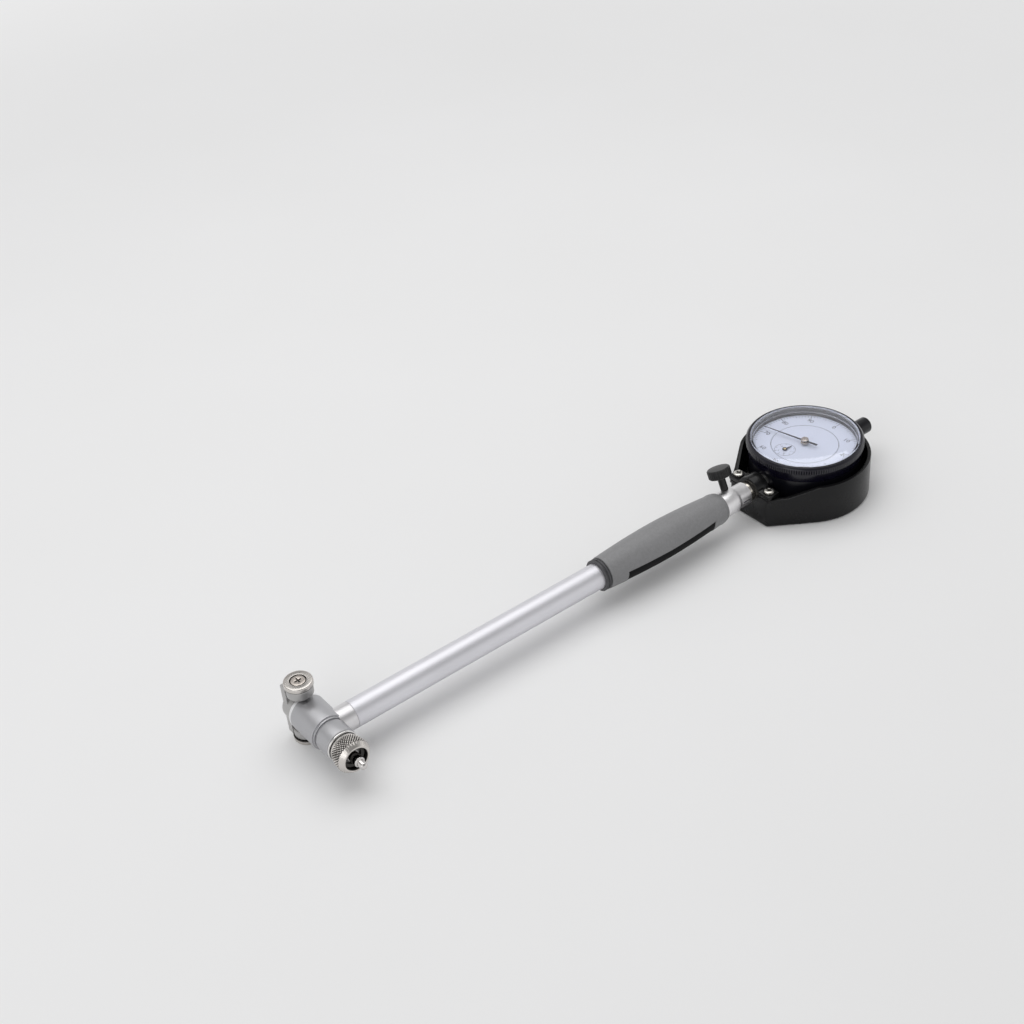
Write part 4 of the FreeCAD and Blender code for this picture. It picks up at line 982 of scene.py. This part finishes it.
    def seat_ring(self) -> bpy.types.Object:
        """Return the polished ring between the neck and the nut, with its step."""
        start, end = self.neck_y - 0.02, self.nut_rear_y + 0.12
        corners = [
            # Painted shade at the ring's inner edge and on the step by the nut.
            Corner(start, self.spigot_r - 0.2),
            Corner(start, self.seat_r - 0.3, 0.1, dirt=0.6),
            Corner(self.neck_y - 0.25, self.seat_r, 0.2),
            Corner(self.neck_y - 0.95, self.seat_r, 0.3),
            Corner(self.neck_y - 1.1, self.seat_r - 0.75, 0.1, dirt=0.8),
            Corner(end, self.seat_r - 0.75, 0.1, dirt=0.8),
            Corner(end, self.spigot_r - 0.2),
        ]
        return turn_piece("polished_seat_ring", corners, Axis.Y, self.at, closed=True)

    def anvil(self) -> bpy.types.Object:
        """Return the stepped polished anvil."""
        collar_end = self.spigot_y - self.collar_l
        # Painted shade on the collar inside the nut, fading along the shank.
        corners = [
            Corner(self.spigot_y + self.shank_l, 0.0),
            Corner(self.spigot_y + self.shank_l, self.shank_r),
            Corner(self.spigot_y, self.shank_r),
            Corner(self.spigot_y, self.collar_r, 0.1, dirt=1.0),
            Corner(collar_end, self.collar_r, 0.1, dirt=1.0),
            Corner(collar_end, self.shank_r, dirt=0.3),
            Corner(collar_end - 1.1, self.shank_r, dirt=0.15),
            Corner(self.tip_y + 0.2, self.shank_r, 0.5),
            Corner(self.tip_y, self.tip_r, 0.1),
            Corner(self.anvil_y + 0.8, self.tip_r, 0.4),
            Corner(self.anvil_y, self.tip_r - 0.8, 0.3),
            Corner(self.anvil_y, 0.0),
        ]
        return turn_piece("stepped_anvil", corners, Axis.Y, self.at, 48)

    def bridge(self) -> bpy.types.Object:
        """Return the bridge, its bosses rounded and with painted shade under the wheels."""
        seat = (self.wheel_back - 0.5) * MM
        reach = (self.boss_r - 0.4) * MM

        def at_top(spot: Vector) -> bool:
            """Return whether a place is at the top of a boss."""
            return abs(spot.z - self.at.z) > seat

        def under_wheel(spot: Vector) -> bool:
            """Return whether a place is at the top of a boss and under its wheel."""
            return at_top(spot) and (spot - self.axle).xy.length < reach

        return soft_edged("bridge_with_bosses", "centring_bridge", 0.22, 0.8, at_top, under_wheel)

    def wheel(self, name: str, side: int) -> bpy.types.Object:
        """Return one guide wheel.

        Args:
            name: The piece's name.
            side: 1 for the upper wheel and -1 for the lower one.

        Returns:
            The wheel.
        """
        back, face = self.wheel_back, self.wheel_face
        floor = face - self.recess_l
        # Painted shade at the back edge, in the gap over the boss, and in the recess.
        corners = [
            Corner(side * back, self.wheel_bore_r),
            Corner(side * back, self.wheel_r, 0.5, dirt=0.7),
            Corner(side * (back + 0.5), self.wheel_r),
            Corner(side * face, self.wheel_r, 0.75),
            Corner(side * face, self.recess_r, 0.12),
            Corner(side * (face - 0.35), self.recess_r, dirt=0.8),
            Corner(side * floor, self.recess_r, 0.1, dirt=1.0),
            Corner(side * floor, self.wheel_bore_r, dirt=1.0),
        ]
        return turn_piece(name, corners, Axis.Z, self.axle, closed=True)

    def build(self) -> None:
        """Build the head and dress its hidden pieces."""
        # The shade amounts on these finishes darken hollows and knurl valleys with painted shade.
        satin = self.steel("satin_barrel_steel", (0.47, 0.47, 0.485), 0.42)
        finish_piece(self.barrel(), satin, "satin_steel", "head_body")
        polished = self.steel("polished_rim_steel", (0.80, 0.80, 0.81), 0.3)
        finish_piece(self.rim(), polished, "satin_steel")
        nickel = self.steel("knurled_nickel", (0.66, 0.63, 0.60), 0.24, grime=0.95)
        finish_piece(self.lock_nut(), nickel, "nickel", "anvil_lock_nut", body="lock_nut")
        bright = self.steel("polished_ring_steel", (0.78, 0.77, 0.76), 0.16, grime=0.9)
        finish_piece(self.seat_ring(), bright, "satin_steel")
        chrome = self.steel("polished_anvil_chrome", (0.64, 0.62, 0.61), 0.12, grime=0.92)
        finish_piece(self.anvil(), chrome, "chromed", "anvil")
        shaded = self.steel("satin_bridge_steel", (0.47, 0.465, 0.46), 0.4, grime=0.85)
        finish_piece(self.bridge(), shaded, "satin_steel", "centring_bridge", body="bridge")
        faced = TurnedMetal("faced_wheel_steel", (0.64, 0.61, 0.58), 0.22, axis=Axis.Z, at=tuple(self.axle),
                            rings=6000.0, sheen_along_rings=0.6, grime=0.96)
        for side, name in ((1, "upper"), (-1, "lower")):
            wheel = self.wheel(f"guide_wheel_{name}_faced", side)
            finish_piece(wheel, faced, "ground_steel", f"guide_wheel_{name}", body=f"{name}_wheel")
        # Painted shade in the recesses of the screw heads.
        dirt = recess("wheel_screws", 0.2, 1.2, mirrored=True)
        screws = soft_edged("wheel_screw_pair", "wheel_screws", 0.08, dirt=dirt)
        dull = PlainMetal("wheel_screw_steel", (0.66, 0.60, 0.55), 0.24, grime=0.9)
        finish_piece(screws, dull, "dark_steel", "wheel_screws", body="bridge")
        finish_nodes(self.steel("ground_plunger_steel", (0.68, 0.68, 0.69), 0.16), "contact_plunger")
        finish_nodes(BUSH_BRASS, "plunger_bush")
        coil = Coil(self.spring_r, self.spring_from_y, self.spring_to_y, self.spring_turns)
        spring = coil.wind("bridge_coil", Axis.Y, self.at)
        finish_piece(spring, SPRING_WIRE, "spring_steel", "bridge_spring")
        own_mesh(spring)
        finish_nodes(GROUND_STEEL, "crank_pin", "bell_crank", "bridge_stop_pin")


@dataclass
class Stem:
    """Ferrule, tube, push rod and the pieces round it."""

    tube_r: float = 6.25
    bore_r: float = 4.4
    rod_bore_r: float = 1.6
    ferrule_x: float = 5.7
    ferrule_end_x: float = 13.0
    tube_end_x: float = 165.0
    spring_r: float = 2.6
    spring_from_x: float = 180.1
    spring_to_x: float = 195.9
    spring_turns: int = 6
    rod_travel: float = 1.6
    at: Vector = field(default_factory=lambda: DATUM.head)

    def ferrule(self) -> bpy.types.Object:
        """Return the polished band next to the head."""
        corners = [
            Corner(self.ferrule_x, self.rod_bore_r),
            Corner(self.ferrule_x, self.tube_r),
            Corner(self.ferrule_end_x, self.tube_r, 0.28),
            Corner(self.ferrule_end_x, self.tube_r - 0.5),
            Corner(self.ferrule_end_x, self.rod_bore_r),
        ]
        return turn_piece("polished_ferrule", corners, Axis.X, self.at, closed=True)

    def tube(self) -> bpy.types.Object:
        """Return the long tube."""
        start = self.ferrule_end_x + 0.05
        corners = [
            Corner(start, self.bore_r),
            Corner(start, self.tube_r, 0.28),
            Corner(self.tube_end_x, self.tube_r),
            Corner(self.tube_end_x, self.bore_r),
        ]
        return turn_piece("satin_tube", corners, Axis.X, self.at, closed=True)

    def build(self) -> None:
        """Build the stem and dress its hidden pieces."""
        band = TurnedMetal("ferrule_steel", (0.70, 0.69, 0.70), 0.34, axis=Axis.X, at=tuple(self.at))
        finish_piece(self.ferrule(), band, "ground_steel", "tube_ferrule")
        chromed = SatinTube("satin_chromed_tube", (0.74, 0.735, 0.77), 0.5)
        finish_piece(self.tube(), chromed, "satin_tube", "tube")
        finish_nodes(GROUND_STEEL, "push_rod")
        finish_nodes(BUSH_BRASS, "rod_bush")
        coil = Coil(self.spring_r, self.spring_from_x, self.spring_to_x, self.spring_turns)
        spring = coil.wind("rod_coil", Axis.X, self.at)
        finish_piece(spring, SPRING_WIRE, "spring_steel", "rod_spring")
        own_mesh(spring)


@dataclass
class Handle:
    """Ribbed ring, grip, clamp collar, sleeve and thumb screw."""

    tube_r: float = 6.25
    ring_x: float = 149.2
    rib_r: float = 7.8
    gap_r: float = 7.3
    rib_w: float = 0.8
    collar_end_x: float = 243.5
    slit_l: float = 6.0
    slit_w: float = 0.7
    sleeve_r: float = 5.0
    at: Vector = field(default_factory=lambda: DATUM.head)

    def ribbed_ring(self) -> bpy.types.Object:
        """Return the dark ring with two ribs in front of the grip."""
        end = self.ring_x + 4 * self.rib_w
        corners = [Corner(self.ring_x, self.tube_r)]
        for start in (self.ring_x, self.ring_x + 2 * self.rib_w):
            corners += [
                Corner(start, self.rib_r, 0.35),
                Corner(start + self.rib_w, self.rib_r, 0.35),
                Corner(start + self.rib_w, self.gap_r, 0.1),
                Corner(start + 2 * self.rib_w, self.gap_r, 0.1),
            ]
        corners[-1] = Corner(end, self.gap_r)
        corners.append(Corner(end, self.tube_r))
        return turn_piece("ribbed_ring", corners, Axis.X, self.at, closed=True)

    def slit_dirt(self) -> bpy.types.Object:
        """Return dark slabs at the bottom of the collar's two slits, a painted shadow where one looks into
        the slits.
        """
        half = self.slit_w / 2
        start, end = self.collar_end_x - self.slit_l, self.collar_end_x - 0.15
        outline = [(start, -half), (end, -half), (end, half), (start, half)]
        parts = []
        for side in (90, -90):
            matrix = Matrix.Translation(self.at) @ Matrix.Rotation(math.radians(side), 4, "X")
            parts.append(slab(outline, self.sleeve_r + 0.02, self.sleeve_r + 0.22, matrix))
        return joined("slit_dirt", parts)

    def build(self) -> None:
        """Build the handle's pieces."""
        grip_plastic = GrainedPlastic("grey_grip_plastic", (0.22, 0.22, 0.225), 0.5, depth=2.0e-5)
        finish_soft("moulded_grip", "grip", 0.3, grip_plastic, "grip_plastic")
        strip = Enamel("bare_black_strip", (0.003, 0.003, 0.0035), 0.6, gloss=0.0, peel=300.0, reflects=0.1)
        finish_soft("inset_strip", "grip_inset", 0.1, strip, "black_label")
        dark = GrainedPlastic("dark_ring_plastic", (0.055, 0.055, 0.06), 0.42, depth=1.2e-5)
        finish_piece(self.ribbed_ring(), dark, "dark_plastic", "grip_ring")
        satin = TurnedMetal("satin_collar_metal", (0.80, 0.79, 0.80), 0.36, axis=Axis.X, at=tuple(self.at))
        finish_soft("split_collar", "clamp_collar", 0.15, satin, "collar_metal")
        # A near-black finish for the painted shadow in the slits.
        dirt = GrainedPlastic("slit_painted_shadow", (0.008, 0.008, 0.008), 0.6)
        finish_piece(self.slit_dirt(), dirt, "dark_plastic")
        nickel = TurnedMetal("sleeve_nickel", (0.66, 0.62, 0.56), 0.15, axis=Axis.X, at=tuple(self.at))
        finish_soft("split_sleeve", "clamp_sleeve", 0.12, nickel, "nickel")
        black = Enamel("black_thumb_screw", (0.007, 0.007, 0.0075), 0.36, gloss=0.0, reflects=0.35)
        finish_soft("thumb_screw_knob", "thumb_screw", 0.12, black, "dark_steel", "thumb")


@dataclass
class Indicator:
    """Case, bezel, window, dial, hands and the movement behind them."""

    bezel_r: float = 28.2
    knurl_r: float = 29.0
    bore_r: float = 27.0
    collar_bore_r: float = 26.65
    skirt_z: float = 5.6
    knurl_z: float = 10.4
    knurl_top_z: float = 12.9
    ridges: int = 150
    top_z: float = 14.0
    ledge_r: float = 24.9
    ledge_z: float = 7.7
    ledge_top_z: float = 8.1
    dial_top: float = 8.6
    edge_z: float = 14.4
    crown_z: float = 15.6
    wall: float = 1.0
    crown_t: float = 1.2
    step_z: float = 10.6
    step_w: float = 0.45
    shoulder_drop: float = 0.35
    shoulder_reach: float = 0.55
    disc_r: float = 16.7
    face_r: float = 25.7
    counter_r: float = 5.1
    tick_l: float = 1.7
    tick_w: float = 0.2
    figure_in: float = 4.9
    figure_h: float = 2.5
    counter_tick_l: float = 1.0
    counter_tick_w: float = 0.18
    counter_figure_in: float = 2.0
    counter_figure_h: float = 0.95
    type_size: float = 1.4
    print_t: float = 0.03
    hand_angle: float = 102.0
    hand_z: float = 10.4
    hand_l: float = 23.5
    tail_l: float = 7.0
    hand_t: float = 0.25
    hand_w: float = 1.0
    hand_tip_w: float = 0.32
    tail_w: float = 1.2
    coil: Coil = Coil(1.3, -17.0, -1.0, 7, wire=0.2)
    coil_y: float = -8.5
    at: Vector = field(default_factory=lambda: DATUM.dial)

    def bezel(self) -> bpy.types.Object:
        """Return the bezel with its finely knurled band."""
        corners = [
            Corner(self.skirt_z, self.collar_bore_r),
            Corner(self.skirt_z, self.bezel_r - 0.2, 0.15),
            Corner(self.knurl_z, self.bezel_r, 0.1),
            Corner(self.knurl_z, self.knurl_r, 0.3),
            Corner(self.knurl_top_z, self.knurl_r, 0.3),
            Corner(self.top_z, self.bezel_r - 0.2, 0.25),
            Corner(self.top_z, self.bore_r, 0.1),
            Corner(self.ledge_top_z, self.bore_r),
            Corner(self.ledge_top_z, self.ledge_r),
            Corner(self.ledge_z, self.ledge_r),
            Corner(self.ledge_z, self.collar_bore_r),
        ]
        knurl = Knurl(self.knurl_z - 0.05, self.knurl_top_z + 0.1, self.ridges, 0.34, self.bore_r + 0.5)
        return turn_piece("knurled_bezel", corners, Axis.Z, self.at, 7 * self.ridges, True, knurl)

    def window(self) -> bpy.types.Object:
        """Return the raised clear window."""
        inner, outer = self.bore_r - self.wall, self.bore_r - 0.02
        shoulder = self.crown_z - (self.crown_z - self.edge_z) * self.shoulder_drop
        foot = self.dial_top + 0.02
        corners = [
            Corner(self.crown_z - self.crown_t, 0.0),
            Corner(shoulder - self.crown_t, inner * self.shoulder_reach, 4.0),
            Corner(self.edge_z - self.crown_t + 0.1, inner, 0.6),
            Corner(self.step_z, inner, 0.1),
            Corner(self.step_z, inner - self.step_w, 0.12),
            Corner(foot, inner - self.step_w),
            Corner(foot, outer),
            Corner(self.edge_z, outer, 0.7),
            Corner(shoulder, outer * self.shoulder_reach, 4.0),
            Corner(self.crown_z, 0.0),
        ]
        return turn_piece("raised_window", corners, Axis.Z, self.at, 192)

    def spot(self, turn: float, reach: float, centre: Vector) -> Matrix:
        """Return the place of a mark on the dial, upright for a reader of the dial.

        Args:
            turn: Clockwise share of a turn from twelve o'clock.
            reach: Distance from the centre, in millimetres.
            centre: The centre of the scale, in metres.

        Returns:
            The matrix.
        """
        angle = 2 * math.pi * turn
        place = centre + Vector((math.cos(angle), -math.sin(angle), 0)) * reach * MM
        return Matrix.Translation(place) @ Matrix.Rotation(-math.pi / 2, 4, "Z")

    def ticks(self, centre: Vector, count: int, reach: float, length: float, width: float,
              longer: dict[int, float] | None = None) -> list[bpy.types.Mesh]:
        """Draw a ring of tick marks.

        Args:
            centre: The centre of the scale, in metres.
            count: How many ticks.
            reach: Their outer radius, in millimetres.
            length: The length of a short tick.
            width: Its width.
            longer: How much longer each multiple is, by its number.

        Returns:
            The meshes.
        """
        made = []
        for n in range(count):
            extras = [extra for step, extra in (longer or {}).items() if n % step == 0]
            span = length + max(extras, default=0.0)
            half = width * (1.5 if n % 10 == 0 and count > 20 else 1.0) / 2
            outline = [(reach - span, -half), (reach, -half), (reach, half), (reach - span, half)]
            turn = Matrix.Rotation(-2 * math.pi * n / count, 4, "Z")
            made.append(slab(outline, 0.0, self.print_t, Matrix.Translation(centre) @ turn))
        return made

    def number(self, text: str, matrix: Matrix, height: float) -> bpy.types.Mesh:
        """Draw a number of the scale.

        Args:
            text: The figures.
            matrix: Where it stands.
            height: Their height, in millimetres.

        Returns:
            The mesh.
        """
        curve = bpy.data.curves.new("figures", "FONT")
        curve.body = text
        curve.align_x, curve.align_y = "CENTER", "CENTER"
        curve.size = height * self.type_size * MM
        curve.extrude = self.print_t * MM / 2
        curve.resolution_u = 3
        holder = placed("figures", curve)
        graph = bpy.context.evaluated_depsgraph_get()
        mesh = bpy.data.meshes.new_from_object(holder.evaluated_get(graph))
        mesh.transform(matrix @ Matrix.Translation((0, 0, self.print_t * MM / 2)))
        bpy.data.objects.remove(holder)
        bpy.data.curves.remove(curve)
        return mesh

    def ring_print(self) -> bpy.types.Object:
        """Return the ticks and numbers of the turning scale."""
        centre = self.at + Vector((0, 0, self.dial_top * MM))
        parts = self.ticks(centre, 100, self.face_r, self.tick_l, self.tick_w, {5: 0.6, 10: 1.2})
        for n in range(10):
            place = self.spot(n / 10, self.face_r - self.figure_in, centre)
            parts.append(self.number(str(10 * n), place, self.figure_h))
        return joined("scale_print", parts)

    def counter_print(self) -> bpy.types.Object:
        """Return the small scale of the turn counter, and the two rings round the scales."""
        hand = node_centre("rack_wheel")
        centre = Vector((hand.x, hand.y, self.at.z + self.dial_top * MM))
        parts = self.ticks(centre, 10, self.counter_r, self.counter_tick_l, self.counter_tick_w, {5: 0.4})
        face = self.at + Vector((0, 0, self.dial_top * MM))
        parts += self.ticks(face, 180, self.disc_r - 0.15, 0.14, 0.6)
        parts += self.ticks(centre, 72, self.counter_r + 0.1, 0.12, 0.46)
        for n in range(0, 10, 2):
            place = self.spot(n / 10, self.counter_r - self.counter_figure_in, centre)
            parts.append(self.number(str(n), place, self.counter_figure_h))
        return joined("counter_print", parts)

    def pointer(self) -> bpy.types.Object:
        """Return the long hand with its tapered blade and broader tail."""
        turn = Matrix.Rotation(math.radians(self.hand_angle), 4, "Z")
        matrix = Matrix.Translation(self.at + Vector((0, 0, self.hand_z * MM))) @ turn
        root, tip, end = self.hand_w / 2, self.hand_tip_w / 2, self.tail_w / 2
        blade = [(0, -root), (self.hand_l, -tip), (self.hand_l, tip), (0, root)]
        tail = [(-self.tail_l, -end), (0, -root), (0, root), (-self.tail_l, end)]
        return joined("long_hand", [slab(outline, 0.0, self.hand_t, matrix) for outline in (blade, tail)])

    def build(self) -> None:
        """Build the indicator and dress its movement."""
        finish_soft("turned_case", "indicator_case", 0.3, BLACK_CASE, "black_paint")
        finish_soft("back_with_lug", "back_plate", 0.3, BLACK_CASE, "black_paint")
        finish_soft("spindle_cap", "top_cap", 0.3, BLACK_CASE, "black_paint")
        anodised = Enamel("violet_black_anodising", (0.0045, 0.004, 0.010), 0.2, gloss=0.1, reflects=0.45)
        finish_piece(self.bezel(), anodised, "black_paint", "bezel", body="rim")
        clear = ClearWindow("clear_window_plastic", (0.98, 0.98, 1.0), 0.03)
        finish_piece(self.window(), clear, "clear_window", "crystal", body="rim")
        finish_nodes(DialPaint("dial_lacquer", (0.62, 0.66, 0.77), 0.5), "dial_ring", "dial_disc")
        ink = DialPaint("dial_ink", (0.05, 0.055, 0.08), 0.45)
        finish_piece(self.ring_print(), ink, "hand_black", body="rim")
        finish_piece(self.counter_print(), ink, "hand_black")
        hand_paint = Enamel("hand_lacquer", (0.02, 0.02, 0.028), 0.3, gloss=0.2)
        finish_piece(self.pointer(), hand_paint, "hand_black", "pointer", body="hand")
        finish_nodes(hand_paint, "counter_hand")
        hub = PlainMetal("hub_nickel", (0.58, 0.52, 0.46), 0.24)
        finish_soft("six_sided_hub", "pointer_hub", 0.1, hub, "nickel", "hand")
        stem = TurnedMetal("ground_stem", (0.60, 0.59, 0.57), 0.2, axis=Axis.X, at=tuple(self.at))
        finish_nodes(stem, "stem_bush")
        finish_nodes(GROUND_STEEL, "spindle", "contact_point", "centre_pinion")
        finish_nodes(MOVEMENT_BRASS, "movement_bridge", "rack_wheel", "take_up_wheel")
        finish_nodes(SPRING_WIRE, "hairspring")
        spring = self.coil.wind("spindle_coil", Axis.X, self.at + Vector((0, self.coil_y, 0)) * MM)
        finish_piece(spring, SPRING_WIRE, "spring_steel", "spindle_spring")
        finish_nodes(SCREW_STEEL, "back_screws")


@dataclass
class Guard:
    """Teardrop cup, its saddle and the two screws."""

    floor_rounding: float = 1.5
    edge_rounding: float = 0.4
    corner_from_y: float = 9.0
    corner_drop: float = 6.0
    near: float = 0.2

    def cup(self) -> bpy.types.Object:
        """Return the cup, with a moulded rounding where its wall meets its back and at its corners."""
        low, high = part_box("guard_shell")
        middle = (low.y + high.y) / 2

        def moulded(spot: Vector) -> bool:
            """Return whether an edge lies on the outer outline of the back or is an outer corner."""
            near = self.near * MM
            at_end = spot.x < low.x + near and abs(spot.y - middle) > self.corner_from_y * MM
            return spot.z < low.z + near or (at_end and spot.z < high.z - self.corner_drop * MM)

        return soft_edged("teardrop_cup", "guard_shell", self.edge_rounding, self.floor_rounding, moulded)

    def build(self) -> None:
        """Build the guard's pieces."""
        finish_piece(self.cup(), BLACK_GUARD, "guard_paint", "guard_shell")
        finish_soft("clamp_saddle", "guard_clamp", 0.3, BLACK_GUARD, "guard_paint")
        # Painted shade in the recesses of the screw heads.
        screws = soft_edged("saddle_screws", "guard_screws", 0.1, dirt=recess("guard_screws", 0.55, 1.2))
        zinc = replace(SCREW_STEEL, name="saddle_screw_zinc", grime=0.9)
        finish_piece(screws, zinc, "nickel", "guard_screws")


@dataclass
class Studio:
    """Floor, lights and the camera."""

    camera_at: Vector = Vector((-0.2149, -0.4630, 0.4716))
    right: Vector = Vector((0.78686, -0.61234, -0.07676))
    up: Vector = Vector((0.41269, 0.42964, 0.80318))
    back: Vector = Vector((-0.45884, -0.66367, 0.59077))
    lens: float = 57.34
    sensor: float = 36.0
    floor_size: float = 12.0
    fade_from: float = 0.55
    fade_to: float = 1.6
    sky_from: float = 0.1
    sky_to: float = 0.7
    ceiling: float = 0.3
    fill: float = 0.46

    def camera(self) -> None:
        """Stand the camera where the photograph was taken from."""
        data = bpy.data.cameras.new("camera")
        data.lens, data.sensor_width = self.lens, self.sensor
        data.clip_start, data.clip_end = 0.01, 50.0
        made = placed("camera", data)
        turned = Matrix((self.right, self.up, self.back)).transposed().to_4x4()
        made.matrix_world = Matrix.Translation(DATUM.head + self.camera_at) @ turned
        bpy.context.scene.camera = made

    def floor(self) -> None:
        """Lay the pale floor, which fades into the backdrop where the camera sees it from afar."""
        half = self.floor_size / 2
        mesh = bpy.data.meshes.new("floor")
        corners = [(-half, -half, 0), (half, -half, 0), (half, half, 0), (-half, half, 0)]
        mesh.from_pydata(corners, [], [(0, 1, 2, 3)])
        made = placed("floor", mesh)
        paper = Shader("pale_paper")
        tone = paper.tint(paper.noise(6.0, 3.0), (0.80, 0.80, 0.80), (0.83, 0.83, 0.835))
        paper.give({"Base Color": tone, "Roughness": 0.85, "Specular IOR Level": 0.2})
        away = paper.node("VectorMath", {0: paper.place}, operation="LENGTH").outputs["Value"]
        far = paper.sharpen(away, self.fade_from, self.fade_to)
        seen = paper.node("LightPath").outputs["Is Camera Ray"]
        paper.mixed(paper.maths("MULTIPLY", far, seen), paper.node("Emission"))
        mesh.materials.append(paper.material)

    def world(self) -> None:
        """Light the room softly, with a white backdrop for what sees it directly."""
        world = bpy.data.worlds.new("studio")
        bpy.context.scene.world = world
        world.use_nodes = True
        sky = Nodes(world.node_tree)
        rays = sky.node("LightPath").outputs
        seen = sky.maths("MAXIMUM", rays["Is Camera Ray"], rays["Is Transmission Ray"])
        seen = sky.maths("MAXIMUM", seen, rays["Is Glossy Ray"])
        height = sky.node("SeparateXYZ", {0: sky.node("TexCoord").outputs["Generated"]}).outputs["Z"]
        backdrop = sky.sharpen(height, self.sky_from, self.sky_to, 1.0, self.ceiling)
        level = sky.node("Mix", {0: seen, 2: self.fill, 3: backdrop}).outputs[0]
        shade = world.node_tree.nodes["Background"]
        sky.feed(shade.inputs["Color"], (1.0, 1.0, 1.0))
        sky.feed(shade.inputs["Strength"], level)

    def lamp(self, name: str, at: Place, size: Point, power: float) -> None:
        """Hang one soft light that faces the gauge.

        Args:
            name: Its name.
            at: Where it hangs, in metres.
            size: Its width and height.
            power: Its power, in watts.
        """
        data = bpy.data.lights.new(name, "AREA")
        data.shape = "RECTANGLE"
        data.size, data.size_y = size
        data.energy = power
        made = placed(name, data)
        made.location = at
        made.rotation_mode = "QUATERNION"
        made.rotation_quaternion = (-Vector(at)).to_track_quat("-Z", "Y")

    def build(self) -> None:
        """Set the whole studio up."""
        self.camera()
        self.floor()
        self.world()
        self.lamp("overhead", (0.1, 0.35, 1.3), (2.0, 1.3), 12.5)
        self.lamp("side", (-1.2, -0.5, 0.8), (0.9, 1.0), 3.4)
        bpy.context.scene.view_settings.view_transform = "Standard"


def main() -> None:
    """Build every sub-assembly and the studio."""
    logging.basicConfig(level=logging.INFO, format="%(message)s")
    for part in (MeasuringHead(), Stem(), Handle(), Indicator(), Guard(), Studio()):
        logging.info("building %s", type(part).__name__)
        part.build()


if __name__ == "__main__":
    main()
